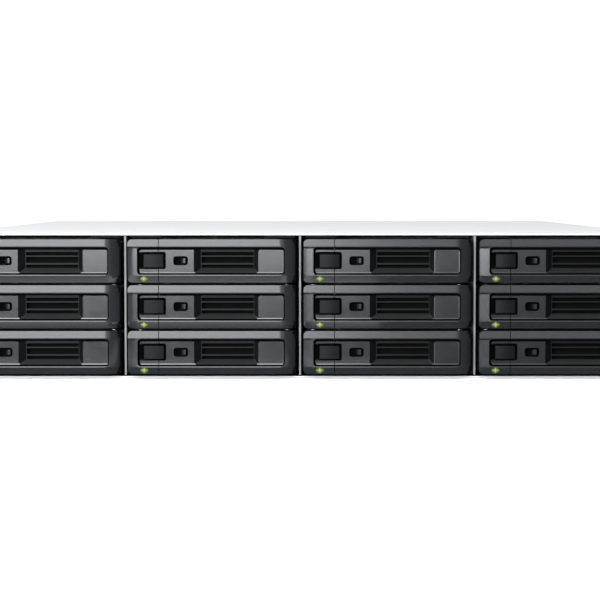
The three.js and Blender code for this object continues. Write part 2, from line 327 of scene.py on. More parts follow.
def crease(obj, low=12, high=34):
    """Keeps a shading break at the shallow edges that run along X between flat faces."""
    bm = bmesh.new()
    bm.from_mesh(obj.data)
    for edge in bm.edges:
        bend = math.degrees(edge.calc_face_angle(0))
        run = edge.verts[1].co - edge.verts[0].co
        edge.smooth = abs(run.x) < 0.9 * run.length or not low < bend < high
    bm.to_mesh(obj.data)
    bm.free()


def soften(obj, width, segments=2, angle=35, creased=False):
    """Rounds the sharp edges, and shades the faces as flats between the rounds."""
    bevel = obj.modifiers.new("soften", "BEVEL")
    bevel.width = width
    bevel.segments = segments
    bevel.limit_method = "ANGLE"
    bevel.angle_limit = math.radians(angle)
    bevel.miter_outer = "MITER_ARC"
    apply(obj)
    obj.data.shade_smooth()
    if creased:
        crease(obj)
    weighted = obj.modifiers.new("flats", "WEIGHTED_NORMAL")
    weighted.mode = "FACE_AREA"
    weighted.keep_sharp = creased
    weighted.weight = 60
    return apply(obj)


def cluster(parts, width):
    """Separate bodies as one object, with their edges lightly rounded."""
    return soften(gather(parts), width, 1)


def keep_side(obj, x, side):
    """Cuts the body at x and keeps its left (-1) or right (1) part, closed."""
    bm = bmesh.new()
    bm.from_mesh(obj.data)
    bpy.data.objects.remove(obj)
    everything = bm.verts[:] + bm.edges[:] + bm.faces[:]
    result = bmesh.ops.bisect_plane(
        bm, geom=everything, plane_co=(x, 0, 0), plane_no=(side, 0, 0), clear_inner=True
    )
    rim = [e for e in result["geom_cut"] if isinstance(e, bmesh.types.BMEdge)]
    bmesh.ops.edgeloop_fill(bm, edges=rim)
    return to_object(bm)


def piece(obj, name, look, slot=None):
    """Names a finished body, gives it its material and turns it from millimetres to metres."""
    obj.name = name
    obj.data.name = name
    obj.data.transform(Matrix.Scale(MM, 4))
    obj.data.materials.clear()
    obj.data.materials.append(look)
    return obj


def placed(obj, body, *nodes):
    """Rides the piece on a body, and lets it stand for CAD nodes."""
    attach(obj, body)
    if nodes:
        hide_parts(*nodes)
    return obj


# ------------------------------------------------------------------ materials
def feed(tree, node, inputs):
    """Sets a node's inputs by name: a socket is linked, and anything else is a fixed value."""
    for name, value in inputs.items():
        if isinstance(value, bpy.types.NodeSocket):
            tree.links.new(value, node.inputs[name])
        else:
            node.inputs[name].default_value = value


def add_node(tree, kind, **inputs):
    """A new node. Its inputs are named with _ for each space."""
    node = tree.nodes.new(kind)
    feed(tree, node, {name.replace("_", " "): value for name, value in inputs.items()})
    return node


class Look:
    """A procedural material on one Principled shader."""

    def __init__(self, name, color, roughness, metallic=0.0, specular=0.5):
        self.material = bpy.data.materials.new(name)
        self.material.use_nodes = True
        self.tree = self.material.node_tree
        self.shader = self.tree.nodes["Principled BSDF"]
        self.color = color
        self.roughness = roughness
        self.set("Base Color", (*color, 1))
        self.set("Roughness", roughness)
        self.set("Metallic", metallic)
        self.set("Specular IOR Level", specular)
        self.place = add_node(self.tree, "ShaderNodeTexCoord").outputs["Object"]

    def set(self, name, value):
        """Sets one input of the shader, by a link or a fixed value."""
        feed(self.tree, self.shader, {name: value})
        return self

    def noise(self, scale, detail=3.0, stretch=(1, 1, 1)):
        mapping = add_node(self.tree, "ShaderNodeMapping", Vector=self.place, Scale=stretch)
        place = mapping.outputs["Vector"]
        texture = add_node(self.tree, "ShaderNodeTexNoise", Vector=place, Scale=scale, Detail=detail)
        return texture.outputs["Fac"]

    def ramp(self, value, *stops):
        """Colours at positions; value runs from 0 to 1."""
        node = add_node(self.tree, "ShaderNodeValToRGB", Fac=value)
        elements = node.color_ramp.elements
        for element, (position, color) in zip(elements, (stops[0], stops[-1])):
            element.position = position
            element.color = (*color, 1)
        for position, color in stops[1:-1]:
            elements.new(position).color = (*color, 1)
        return node.outputs["Color"]

    def vary_color(self, value, dark, light):
        return self.set("Base Color", self.ramp(value, (NOISE_LOW, dark), (NOISE_HIGH, light)))

    def tint(self, value, amount):
        dark = tuple(c * (1 - amount) for c in self.color)
        light = tuple(min(1, c * (1 + amount)) for c in self.color)
        return self.vary_color(value, dark, light)

    def vary_roughness(self, value, amount):
        node = add_node(
            self.tree, "ShaderNodeMapRange", Value=value, From_Min=NOISE_LOW, From_Max=NOISE_HIGH,
            To_Min=self.roughness - amount, To_Max=self.roughness + amount,
        )
        return self.set("Roughness", node.outputs["Result"])

    def bump(self, value, height, strength=1.0):
        node = add_node(self.tree, "ShaderNodeBump", Height=value, Distance=height, Strength=strength)
        return self.set("Normal", node.outputs["Normal"])


def moulded(name, color, roughness, specular, grain=5200, height=0.00001):
    """Injection-moulded plastic: a fine spark-eroded grain, and slow changes of gloss."""
    look = Look(name, color, roughness, specular=specular)
    look.tint(look.noise(240), 0.08)
    look.vary_roughness(look.noise(160, 2), 0.02)
    look.bump(look.noise(grain, 2), height, 0.6)
    return look.material


def powder_coat(name, color, specular=0.15):
    """Powder-coated sheet: an even colour with a fine orange-peel surface."""
    look = Look(name, color, 0.55, specular=specular)
    look.tint(look.noise(14, 2), 0.012)
    look.vary_roughness(look.noise(60), 0.05)
    look.bump(look.noise(1500, 2), 0.00002, 0.35)
    return look.material


def sheet_metal(name, color, roughness=0.36, stretch=(1, 40, 40)):
    """Rolled sheet: fine scratches along the rolling direction, and faint cloudy patches."""
    look = Look(name, color, roughness, metallic=1.0)
    look.tint(look.noise(45, 4), 0.08)
    look.vary_roughness(look.noise(160, 5, stretch), 0.09)
    look.bump(look.noise(240, 4, stretch), 0.00001, 0.4)
    return look.material


def cast_metal(name, color):
    """Die-cast aluminium: a grainy skin."""
    look = Look(name, color, 0.5, metallic=0.9)
    look.tint(look.noise(70, 4), 0.12)
    look.vary_roughness(look.noise(300), 0.1)
    look.bump(look.noise(2600, 3), 0.00003, 0.7)
    return look.material


def board_look(name):
    """Green solder mask, darker where there is no copper under it."""
    look = Look(name, (0.012, 0.07, 0.035), 0.35)
    look.vary_color(look.noise(420, 1, (1, 0.12, 1)), (0.006, 0.045, 0.022), (0.02, 0.11, 0.055))
    look.vary_roughness(look.noise(120), 0.06)
    look.bump(look.noise(420, 1, (1, 0.12, 1)), 0.00003, 0.5)
    return look.material


def lamp_look(name):
    """A lit green window: a wide bright streak crossed by a narrow one, on darker olive."""
    olive = (0.03, 0.05, 0.015)
    look = Look(name, olive, 0.35, specular=0.1)
    spots = [lamp_spot(look, width, height) for width, height in ((2.9, 0.8), (0.95, 2.5))]
    brighter = add_node(look.tree, "ShaderNodeMath")
    brighter.operation = "MAXIMUM"
    for socket, spot in zip(brighter.inputs, spots):
        look.tree.links.new(spot, socket)
    glow = look.ramp(
        brighter.outputs["Value"],
        (0.0, olive), (0.2, (0.05, 0.075, 0.025)), (0.5, (0.24, 0.29, 0.12)), (0.8, (0.46, 0.52, 0.2)),
    )
    return look.set("Emission Color", glow).set("Emission Strength", 0.9).material


def lamp_spot(look, width, height):
    """Brightness that falls from 1 at the lamp's middle to 0 on an ellipse of these half sizes."""
    across, up = 1 / (width * MM), 1 / (height * MM)
    start = (-LAMP[0] * MM * across, 0, -LAMP[1] * MM * up)
    scale = (across, 0, up)
    mapping = add_node(look.tree, "ShaderNodeMapping", Vector=look.place, Location=start, Scale=scale)
    gradient = add_node(look.tree, "ShaderNodeTexGradient", Vector=mapping.outputs["Vector"])
    gradient.gradient_type = "SPHERICAL"
    return gradient.outputs["Fac"]


tray_plastic = moulded("tray_plastic", (0.0105, 0.0115, 0.0125), 0.19, 0.5)
# Near-black plastic: painted shade on the face's gap floors, and also the black of the carrier and the
# divider guides.
black_and_shade_plastic = moulded("black_and_shade_plastic", (0.0014, 0.0014, 0.0015), 0.85, 0.05)
# A darker copy of the tray plastic: painted shade on the vent grille and the scoop's side walls.
grille_shade_plastic = moulded("grille_shade_plastic", (0.0036, 0.0038, 0.004), 0.42, 0.12)
# A darker copy of the tray plastic: painted shade on the scoop's ramp, lighter than the grille's.
ramp_shade_plastic = moulded("ramp_shade_plastic", (0.0085, 0.009, 0.0095), 0.5, 0.3)
button_plastic = moulded("button_plastic", (0.0032, 0.0034, 0.0036), 0.4, 0.1, grain=3600)
black_plastic = moulded("black_plastic", (0.008, 0.008, 0.009), 0.5, 0.35)
sled_plastic = moulded("sled_plastic", (0.014, 0.014, 0.015), 0.55, 0.3)
cover_paint = powder_coat("cover_paint", (0.575, 0.57, 0.575), 0.04)
inner_paint = powder_coat("chassis_paint", (0.47, 0.47, 0.475))
# A near-black copy of the chassis paint: painted shade inside the base.
inside_shade_paint = powder_coat("inside_shade_paint", (0.012, 0.012, 0.013))
zinc_sheet = sheet_metal("zinc_sheet", (0.6, 0.61, 0.62))
bright_steel = sheet_metal("bright_steel", (0.72, 0.72, 0.72), 0.28)
screw_steel = sheet_metal("screw_steel", (0.5, 0.5, 0.5), 0.3, (30, 30, 30))
cast_body = cast_metal("cast_body", (0.32, 0.33, 0.34))
board_green = board_look("board_green")
lamp_green = lamp_look("lamp_green")
label_paper = powder_coat("label_paper", (0.62, 0.62, 0.6))
divider_paint = powder_coat("divider_paint", (0.21, 0.215, 0.22))
ear_paint = powder_coat("ear_paint", (0.03, 0.031, 0.033))
brass = sheet_metal("brass", (0.75, 0.56, 0.28), 0.32, (30, 30, 30))
gold = sheet_metal("gold", (0.95, 0.7, 0.3), 0.22, (30, 30, 30))
brushed_aluminium = sheet_metal("brushed_aluminium", (0.66, 0.67, 0.68), 0.34, (40, 1, 40))
latch_plastic = moulded("latch_plastic", (0.16, 0.35, 0.12), 0.4, 0.5)
usb_plastic = moulded("usb_plastic", (0.02, 0.07, 0.3), 0.4, 0.5)
fan_plastic = moulded("fan_plastic", (0.016, 0.016, 0.017), 0.42, 0.5)
rotor_plastic = moulded("rotor_plastic", (0.02, 0.02, 0.021), 0.35, 0.5)
lens_green = moulded("lens_green", (0.06, 0.16, 0.05), 0.2, 0.6)


# ------------------------------------------------------------------ the tray's face
def face_lean(x, z):
    """How far the front falls back: at the left rail, at the bend before the hinge, and at both rails."""
    left = max(0.0, LEFT_RAIL_X - x) * min(1.0, max(0.0, (TOP_RAIL_Z - z) / RAIL_BLEND))
    right = max(0.0, x - BEND_X)
    top = max(0.0, z - TOP_RAIL_Z)
    bottom = max(0.0, BOTTOM_RAIL_Z - z)
    bend = BEND_SQUARE * right ** 2 + BEND_CUBE * right ** 3
    return 0.2 * left + 0.022 * left * left + bend + 0.32 * top + 0.36 * bottom


def face_body():
    """The whole face before it is split, with its front moved back by face_lean."""
    outline = rounded((-HALF_W, HALF_W), (0, FACE_H), FACE_CORNERS)
    obj = along_y(outline, (0, FACE_DEPTH))
    bm = bmesh.new()
    bm.from_mesh(obj.data)
    bpy.data.objects.remove(obj)
    across = [LEFT_RAIL_X - 1.2 * i for i in range(5)] + [BEND_X + 0.8 * i for i in range(13)]
    planes = [((x, 0, 0), (1, 0, 0)) for x in across]
    levels = (BOTTOM_RAIL_Z, 2.0, TOP_RAIL_Z - RAIL_BLEND, TOP_RAIL_Z, 24.2)
    planes += [((0, 0, z), (0, 0, 1)) for z in levels]
    for place, normal in planes:
        everything = bm.verts[:] + bm.edges[:] + bm.faces[:]
        bmesh.ops.bisect_plane(bm, geom=everything, plane_co=place, plane_no=normal)
    for v in bm.verts:
        if v.co.y < 0.01:
            v.co.y = face_lean(v.co.x, v.co.z)
    return to_object(bm)


def recess_tool():
    """The recess, with a sloping rim."""
    def ring(amount, y):
        outline = rounded(inset(RECESS[0], amount), inset(RECESS[1], amount), RECESS_R - amount)
        return [(x, y, z) for x, z in outline]

    above = 1.0
    far = RIM * (1 + above / RIM_DROP)
    return loft([ring(-far, -above), ring(0, RIM_DROP), ring(0, PANEL_Y)])


def groove_tool():
    """The gap round the panel, deeper than the panel's own surface."""
    outer = along_y(rounded(*RECESS, RECESS_R), (PANEL_Y - 1, GROOVE_Y))
    return cut(outer, along_y(rounded(*PANEL, 1.3), (0, GROOVE_Y + 1)))


def pocket_tool(depth):
    """The button's pocket, whose left wall is a slope."""
    front = rounded(*POCKET, 1.2)
    back = rounded((POCKET_FLOOR_X, POCKET[0][1]), POCKET[1], 1.2)
    return loft([
        [(x, PANEL_Y - 2, z) for x, z in front],
        [(x, PANEL_Y + 0.3, z) for x, z in front],
        [(x, 5.4, z) for x, z in back],
        [(x, max(depth, 5.5), z) for x, z in back],
    ])


def panel_lip(x):
    """A narrow upward slope along the panel's lower edge."""
    z = PANEL[1][0]
    section = [(PANEL_Y + 0.8, z), (PANEL_Y - LIP_RISE, z), (PANEL_Y, z + LIP_H), (PANEL_Y + 0.8, z + LIP_H)]
    return along_x(section, x)


def bezel_trim():
    return panel_lip((PANEL[0][0] + 0.6, SPLIT_X - SPLIT_GAP))


def pad_edge(x, outside):
    """A narrow upright slope that faces left, at the grip pad's left (-1) or right (1) border."""
    back = PANEL_Y + 0.8
    level = (PANEL_Y + 0.17, PANEL_Y) if outside < 0 else (PANEL_Y, PANEL_Y - 0.17)
    section = [(x[0], back), (x[0], level[0]), (x[1], level[1]), (x[1], back)]
    return along_z(section, inset(PANEL[1], 0.7))


def handle_trim():
    """The lips under the panel and under the grip pad, and the pad's two upright edges."""
    pad = (CAVITY_FRONT[0][1], PANEL[0][1])
    return gather([
        panel_lip((SPLIT_X + SPLIT_GAP, CAVITY_FRONT[0][0] + 0.9)),
        panel_lip((pad[0] - 1.3, pad[1] - 0.5)),
        pad_edge((pad[0] - 0.45, pad[0]), -1),
        pad_edge((pad[1] - 0.45, pad[1]), 1),
    ])


def paint_gap_shade(obj):
    """Paints shade on the floors of the face's gaps, the vent grille and the scoop's ramp and side walls, as
    darker materials of their own.
    """
    obj.data.materials.append(black_and_shade_plastic)
    obj.data.materials.append(grille_shade_plastic)
    obj.data.materials.append(ramp_shade_plastic)
    for polygon in obj.data.polygons:
        x, y, _ = polygon.center / MM
        _, inwards, up = polygon.normal
        # Painted shade: the scoop's slopes, the grille face and the deep gap floors take darker materials.
        scooped = CAVITY_FRONT[0][0] < x < CAVITY_FRONT[0][1] and PANEL_Y + 0.3 < y < CAVITY_Y - 0.1
        if scooped and -0.9 < inwards < -0.2:
            polygon.material_index = 3 if up > 0.4 else 2
        elif inwards < -0.5 and PAINTED_SHADE_Y < y < FACE_DEPTH - 0.5:
            polygon.material_index = 2 if abs(y - CAVITY_Y) < 0.1 else 1


def bezel_body():
    body = keep_side(face_body(), SPLIT_X - SPLIT_GAP, -1)
    lamp_hole = along_y(ellipse(*LAMP, 2.75, 2.02), (-1, 3.2))
    stem_hole = block(inset(STEM[0], -0.4), (0, FACE_DEPTH + 1), inset(STEM[1], -0.4))
    cut(body, recess_tool(), groove_tool(), pocket_tool(5.5), lamp_hole, stem_hole)
    return soften(body, 0.14, creased=True)


def cavity_tool():
    """The finger scoop: side walls that lean in, and a ramp up to the vent slots."""
    front = rounded(*CAVITY_FRONT, 0.5, 3)
    mouth = rounded(inset(CAVITY_FRONT[0], -0.3), CAVITY_FRONT[1], 0.5, 3)
    back = rounded(*CAVITY_BACK, 0.5, 3)
    return loft([
        [(x, PANEL_Y - 1.5, z) for x, z in mouth],
        [(x, PANEL_Y, z) for x, z in front],
        [(x, CAVITY_Y, z) for x, z in back],
    ])


def handle_back_tools():
    """Weight-saving pockets behind the face, left between moulded ribs."""
    spans_x = ((-30.5, -25.0), (-14.0, -8.4), (26.6, 33.0), (34.4, 40.2))
    tools = [block(x, (7.0, FACE_DEPTH + 1), z) for x in spans_x for z in ((1.6, 4.2), (22.2, 24.9))]
    tools += [block((29.6, 40.4), (4.4, FACE_DEPTH + 1), z) for z in ((6.6, 12.6), (13.8, 19.2))]
    return tools


def handle_body():
    body = keep_side(face_body(), SPLIT_X + SPLIT_GAP, 1)
    slots = [along_y(rounded(SLOTS_X, z, 0.35, 3), (CAVITY_Y - 1, FACE_DEPTH + 1)) for z in SLOTS_Z]
    lock = along_y(rounded(*LOCK, 1.6), (-1, 7.2))
    cut(body, recess_tool(), groove_tool(), pocket_tool(FACE_DEPTH + 1), cavity_tool(), lock, *slots)
    cut(body, *handle_back_tools())
    relief = [(41.0, 9.5), (42.2, 6.3), (48.5, 6.9), (51.5, 7.7), (51.5, 9.5)]
    cut(body, along_z(relief, (-1, FACE_H + 1)))
    heel_z = (LUG_Z[0][1] + 0.3, LUG_Z[1][0] - 0.3)
    heel = along_z(heel_outline(), heel_z)
    hinge_pin = post(*HINGE, PIN_R, 20, (LUG_Z[0][0] + 0.3, LUG_Z[1][1] - 0.3))
    hook = [(-29.6, 12.6), (-31.2, 12.6), (-31.9, 11.6), (-31.0, 11.2), (-31.0, 9.0)]
    catch = along_z([(-31.9, 7.5), (-29.6, 7.5)] + hook, (19.4, 23.0))
    join(body, heel, hinge_pin, catch)
    return soften(body, 0.14, creased=True)


def heel_outline():
    arc = [(-0.35 + (math.pi + 0.35) * i / 12) for i in range(13)]
    curve = [(HINGE[0] + 3.3 * math.cos(a), HINGE[1] + 3.3 * math.sin(a)) for a in arc]
    return [(41.0, 4.6), (46.5, 5.4), (50.2, 6.6), (50.2, 7.1)] + curve + [(41.0, FACE_DEPTH - 0.1)]


def button_body():
    """The push surface is crowned sideways, and its stem runs back into the bezel."""
    steps = 12
    width = BUTTON[0][1] - BUTTON[0][0]
    front = []
    for i in range(steps + 1):
        x = BUTTON[0][0] + width * i / steps
        front.append((x, 0.95 + 0.55 * (2 * i / steps - 1) ** 2))
    outline = front + [(BUTTON[0][1], 3.4), (BUTTON[0][0], 3.4)]
    cap = along_z(outline, BUTTON[1])
    soften(cap, 0.35, 3, 50)
    stem = soften(block(STEM[0], (3.3, 8.5), STEM[1]), 0.3)
    return gather([cap, stem])


def lock_body():
    """The lock's slider: a knob with a flat right half, and a sloping left half with a thumb step."""
    (x0, x1), z = SLIDER
    step = middle(SLIDER[0])
    slope = [(x0, 5.0), (x0 + 0.4, 4.2), (step - 0.1, 3.6), (step + 0.1, 3.0)]
    return soften(along_z(slope + [(x1, 3.0), (x1, 7.3), (x0, 7.3)], z), 0.2)


def lamp_body():
    """The light pipe's window: a low dome behind the rail's surface."""
    loops = []
    for share, y in ((1.0, 3.1), (1.0, 1.75), (0.86, 1.45), (0.55, 1.25), (0.2, 1.18)):
        loops.append([(x, y, z) for x, z in ellipse(*LAMP, 2.65 * share, 1.92 * share)])
    obj = loft(loops)
    obj.data.shade_smooth()
    return obj


# ------------------------------------------------------------------ behind the face: sled and drive
def lug_bodies():
    strip = (HINGE[0] - 2.8, HINGE[0] + 2.4)
    lugs = []
    for z in LUG_Z:
        eye = post(*HINGE, 2.8, 36, z)
        join(eye, block(strip, (HINGE[1], SLED_Y[0] + 1), z))
        lugs.append(cut(eye, post(*HINGE, 1.5, 36, inset(z, -1))))
    return lugs


def carrier_body():
    """The frame behind the face: a plate, the hinge lugs and the wall the drive sits against."""
    through = (PLATE_Y[0] - 1, PLATE_Y[1] + 1)
    plate = block((-HALF_W, 40), PLATE_Y, (0.4, FACE_H - 0.4))
    stem = block(inset(STEM[0], -0.5), through, inset(STEM[1], -0.5))
    catch = block((-32.6, -28.6), through, (18.9, 23.6))
    cut(plate, stem, catch)
    wall = block((-51.8, 51.8), (SLED_Y[0], SLED_Y[0] + 2), (0.6, 24.2))
    gaps = [block((x, x + 18), (SLED_Y[0] - 1, SLED_Y[0] + 3), (5, 21)) for x in (-46, -24, -2, 20)]
    cut(wall, gather(gaps))
    ends = [block(x, (PLATE_Y[1] - 0.1, SLED_Y[0] + 0.1), (0.8, 25)) for x in ((-51, -49.5), (38.5, 40))]
    spacer = block((-51, SPLIT_X - SPLIT_GAP), (FACE_DEPTH - 0.1, PLATE_Y[0] + 0.1), (1, 25.5))
    join(plate, wall, *ends, *lug_bodies())
    stem_way = block(inset(STEM[0], -0.5), (FACE_DEPTH - 1, PLATE_Y[0] + 1), inset(STEM[1], -0.5))
    join(plate, cut(spacer, stem_way))
    return soften(plate, 0.12)


def sled_body():
    """Two side rails with screw cut-outs, joined by cross bars under the drive."""
    front = SLED_Y[0]
    parts = []
    for side in (-1, 1):
        x = sorted((side * 50.85, side * 51.8))
        through = inset(x, -1)
        rail = block(x, (front + 1, SLED_Y[1]), (0.6, 15.8))
        holes = [along_x(ellipse(front + y, 8.2, 2.6, 2.6), through) for y in (28, 88, 130)]
        slots = [block(through, (front + y, front + y + 22), (5, 11.4)) for y in (40, 98)]
        parts.append(cut(rail, *holes, *slots))
    bars = [block((-51.2, 51.2), (y, y + 9), (0.6, 1.75)) for y in (17, 62, 108, 161)]
    edges = [block(x, (front + 1, SLED_Y[1]), (0.6, 1.75)) for x in ((-51.2, -44), (44, 51.2))]
    return soften(join(parts[0], parts[1], *bars, *edges), 0.18)


def drive_body():
    """The drive's cast base, with the waist that its side screws go into."""
    x, y, z = DRIVE
    base = along_z(rounded(x, y, 2.2), (z[0] + 1.6, z[1] - 1.4))
    steps = [block((x[0] - 1, x[0] + 1.1), inset(y, 20), (z[1] - 6, z[1]))]
    steps.append(block((x[1] - 1.1, x[1] + 1), inset(y, 20), (z[1] - 6, z[1])))
    hollow = along_z(rounded(inset(x, 3), (y[0] + 40, y[1] - 3), 6), (z[0], z[0] + 2.6))
    return soften(cut(base, *steps, hollow), 0.4)


def drive_cover():
    """The drive's pressed lid: a raised disc over the spindle and a raised foot over the arm."""
    x, y, z = DRIVE
    top = z[1] - 0.55
    raised = (top - 0.2, top + 0.5)
    lid = along_z(rounded(inset(x, 1.6), inset(y, 1.6), 4), (z[1] - 1.5, top))
    disc = turned(list(zip((43, 42), raised)), 40, "z", (0, y[0] + 52))
    foot = along_z(rounded((-38, 30), (y[0] + 98, y[1] - 8), 8), raised)
    return soften(join(lid, disc, foot), 0.25)


def drive_screws():
    x, y, z = DRIVE
    heads = []
    for sx in inset(x, 5.5):
        for sy in (y[0] + 5.5, (y[0] + y[1]) / 2, y[1] - 5.5):
            head = post(sx, sy, 2.3, 16, (z[1] - 0.9, z[1] - 0.15))
            star = [(sx + r * math.cos(a), sy + r * math.sin(a)) for r, a in star_points()]
            heads.append(soften(cut(head, along_z(star, (z[1] - 0.6, z[1] + 1))), 0.08, 1))
    return gather(heads)


def star_points():
    return [((1.15, 0.75)[i % 2], math.pi * i / 6) for i in range(12)]


def drive_board():
    """The circuit board under the drive."""
    x, y, z = DRIVE
    board = along_z(rounded(inset(x, 8), (y[0] + 48, y[1] - 5), 3), (z[0] + 0.9, z[0] + 1.7))
    return soften(board, 0.1, 1)


def drive_connector():
    """The drive's power and data connector."""
    y, z = DRIVE[1][1], DRIVE[2][0]
    shell = block((-40, -2), (y - 7, y - 0.3), (z + 1.2, z + 6.4))
    for x in ((-38.6, -15), (-13.2, -3.4)):
        cut(shell, block(x, (y - 5, y + 1), (z + 2.4, z + 5.4)))
    return soften(shell, 0.15, 1)


def drive_label():
    y, z = DRIVE[1][0], DRIVE[2][1]
    return along_z(rounded((-34, 34), (y + 20, y + 84), 2), (z - 0.06, z))


# ------------------------------------------------------------------ placing the trays
def tray_origin(index):
    low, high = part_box(f"drive_tray_{index}")
    return Vector(((low.x + high.x) / 2, low.y, low.z))


def make_trays():
    """Each tray piece is made once, and its mesh is shared by the twelve trays."""
    kinds = [
        ("tray_bezel", bezel_body(), tray_plastic, "tray", "drive_metal", "drive_tray"),
        ("status_lamp", lamp_body(), lamp_green, "tray", None, None),
        ("tray_carrier", carrier_body(), black_and_shade_plastic, "tray", None, None),
        ("tray_sled", sled_body(), sled_plastic, "tray", None, None),
        ("drive_body", drive_body(), cast_body, "tray", "drive_metal", None),
        ("drive_lid", drive_cover(), bright_steel, "tray", "drive_metal", None),
        ("drive_screws", drive_screws(), screw_steel, "tray", None, None),
        ("drive_board", drive_board(), board_green, "tray", None, None),
        ("drive_connector", drive_connector(), black_plastic, "tray", None, None),
        ("drive_label", drive_label(), label_paper, "tray", None, None),
        ("handle_shell", handle_body(), tray_plastic, "handle", "tray_plastic", "tray_handle"),
        ("lock_slider", lock_body(), tray_plastic, "handle", None, None),
        ("bezel_trim", bezel_trim(), tray_plastic, "tray", None, None),
        ("handle_trim", handle_trim(), tray_plastic, "handle", None, None),
        ("button_cap", button_body(), button_plastic, "button", "button_plastic", "release_button"),
    ]
    for name, body, look, rides, slot, node in kinds:
        master = piece(body, f"{name}_1", look)
        if name in ("tray_bezel", "handle_shell"):
            paint_gap_shade(master)
        for i in range(1, TRAYS + 1):
            obj = add_object(f"{name}_{i}", master.data)
            obj.location = tray_origin(i)
            placed(obj, f"{rides}_{i}", *([f"{node}_{i}"] if node else []))
        bpy.data.objects.remove(master)


# ------------------------------------------------------------------ small repeated hardware
def screw_heads(moves, radius=2.8, height=1.4):
    """Pan-head screws with a star recess."""
    profile = ((1.0, 0.0), (1.0, 0.45), (0.86, 0.85), (0.6, 1.0))
    head = turned([(radius * r, height * h) for r, h in profile], 18)
    scale = radius / 2.3
    star = [(scale * r * math.cos(a), scale * r * math.sin(a)) for r, a in star_points()]
    cut(head, along_z(star, (0.4 * height, height + 1)))
    return soften(repeat(head, moves), 0.06, 1)


def hexagons(x, z, pitch, radius, y):
    """Hexagonal prisms along Y that fill a field."""
    cell = pin(0, 0, radius, 6, y)
    rise = pitch * math.sqrt(3) / 2
    places = []
    for row in range(int((z[1] - z[0]) / rise) + 1):
        shift = 0.5 * pitch * (row % 2)
        for column in range(int((x[1] - x[0] - shift) / pitch) + 1):
            places.append(Vector((x[0] + shift + column * pitch, 0, z[0] + row * rise)))
    return repeat(cell, places)


def fixed(obj, name, look, *nodes, slot=None, body="root"):
    return placed(piece(obj, name, look, slot), body, *nodes)


# ------------------------------------------------------------------ case
def cover_shell():
    x, y, z = spans("top_cover")
    under = z[1] - LID_SHEET
    plate = along_z(rounded(x, y, 1.5), (under, z[1]))
    skirts = [block(side, y, (z[0], under + 0.1)) for side in ((x[0], x[0] + 0.95), (x[1] - 0.95, x[1]))]
    lip = block(x, (y[1] - 1.2, y[1]), (under - 5, under + 0.1))
    join(plate, *skirts, lip)
    seam = block((x[0] - 1, x[1] + 1), about(150, 0.5), (z[1] - 0.5, z[1] + 1))
    seats = [post(*place, 3.1, 36, (z[1] - 0.9, z[1] + 1)) for place in LID_SCREWS]
    cut(plate, seam, gather(seats))
    return soften(plate, 0.3)


def sideways(x, places):
    """The moves that face outwards from both sides of the case, at (y, z) places."""
    return [facing((side, y, z), (math.copysign(1, side), 0, 0)) for side in x for y, z in places]


def cover_screws():
    x, _, z = spans("top_cover")
    moves = sideways(x, [(y, z[0] + 6) for y in (-180, -20, 135, 235)])
    moves += [facing((side * 120, 262.0, 84), (0, 1, 0)) for side in (-1, 0, 1)]
    moves += [Matrix.Translation((px, py, z[1] - 0.95)) for px, py in LID_SCREWS]
    return screw_heads(moves, 2.6, 0.9)


def chassis_shell():
    """Floor and side walls, with rail fixings, side vents and pressed rings underneath."""
    x, y, z = spans("chassis_base")
    floor = block(x, y, (z[0], z[0] + FLOOR_SHEET))
    walls = [block((x[0], x[0] + 1.1), y, z), block((x[1] - 1.1, x[1]), y, z)]
    join(floor, *walls)
    through = (x[0] - 1, x[1] + 1)
    tools = [along_x(ellipse(place, 34, 2.2, 2.2, 16), through) for place in (-215, -120, -10, 95, 235)]
    tools += [along_x(rounded((place, place + 3), height, 1.4), through)
              for place in range(130, 215, 8) for height in ((10, 28), (38, 54))]
    cut(floor, gather(tools))
    pads = []
    for px in (-170, 170):
        for py in (-215, 210):
            ring = post(px, py, 11, 32, (-1, 0.3))
            pads.append(cut(ring, post(px, py, 9.4, 32, (-2, 1))))
    cut(floor, gather(pads))
    return soften(floor, 0.2)


def paint_inside_shade(obj):
    """Paints shade, as a near-black copy of the paint, on the base's inner floor and on the sides that face
    into the case.
    """
    obj.data.materials.append(inside_shade_paint)
    reach = spans("chassis_base")[0][1] - 1.5
    for polygon in obj.data.polygons:
        across = polygon.center.x / MM
        inward = polygon.normal.x * across < -0.5 * abs(across)
        if polygon.normal.z > 0.9 and abs(across) < reach or inward:
            polygon.material_index = 1
    return obj


def chassis_rivets():
    moves = sideways(spans("chassis_base")[0], [(y, z) for y in (-240, -95, 60) for z in (14, 50)])
    return soften(repeat(turned(((2.2, 0), (2.1, 0.3), (1.2, 0.55)), 14), moves), 0.08, 1)


def ledge(x, y, z):
    """A tray guide with a tapered nose."""
    side = [(y[0], middle(z)), (y[0] + 8, z[0]), (y[1], z[0]), (y[1], z[1]), (y[0] + 8, z[1])]
    return along_x(side, x)


def guide_levels():
    undersides = sorted({round(tray_origin(i).z / MM, 3) for i in range(1, TRAYS + 1)})
    return [(level - 1.2, level + 0.3) for level in undersides]


def wall_guides():
    x = spans("chassis_base")[0]
    reach = 3.7
    sides = ((x[0] + 1, x[0] + 1 + reach), (x[1] - 1 - reach, x[1] - 1))
    return cluster([ledge(side, GUIDE_Y, z) for side in sides for z in guide_levels()], 0.15)


def standoffs():
    board = spans("main_board")[2][0]
    pillar = post(0, 0, 3, 6, (FLOOR_SHEET - 0.05, board))
    places = [Vector((x, y, 0)) for x in (-190, -50, 90) for y in (-25, 105, 240)]
    return soften(repeat(pillar, places), 0.25, 1)


def divider_sheet():
    """An upright sheet between two columns, made for the middle plane and shared."""
    _, y, z = spans("bay_divider_1")
    sheet = block((-0.6, 0.6), y, z)
    slots = [along_x(rounded((place, place + 26), (height, height + 7), 3.4), (-2, 2))
             for place in (-235, -200, -165, -130) for height in (12, 40, 66)]
    return soften(cut(sheet, gather(slots)), 0.12)


def divider_guides():
    return cluster([ledge((-3.6, 3.6), GUIDE_Y, z) for z in guide_levels()], 0.15)


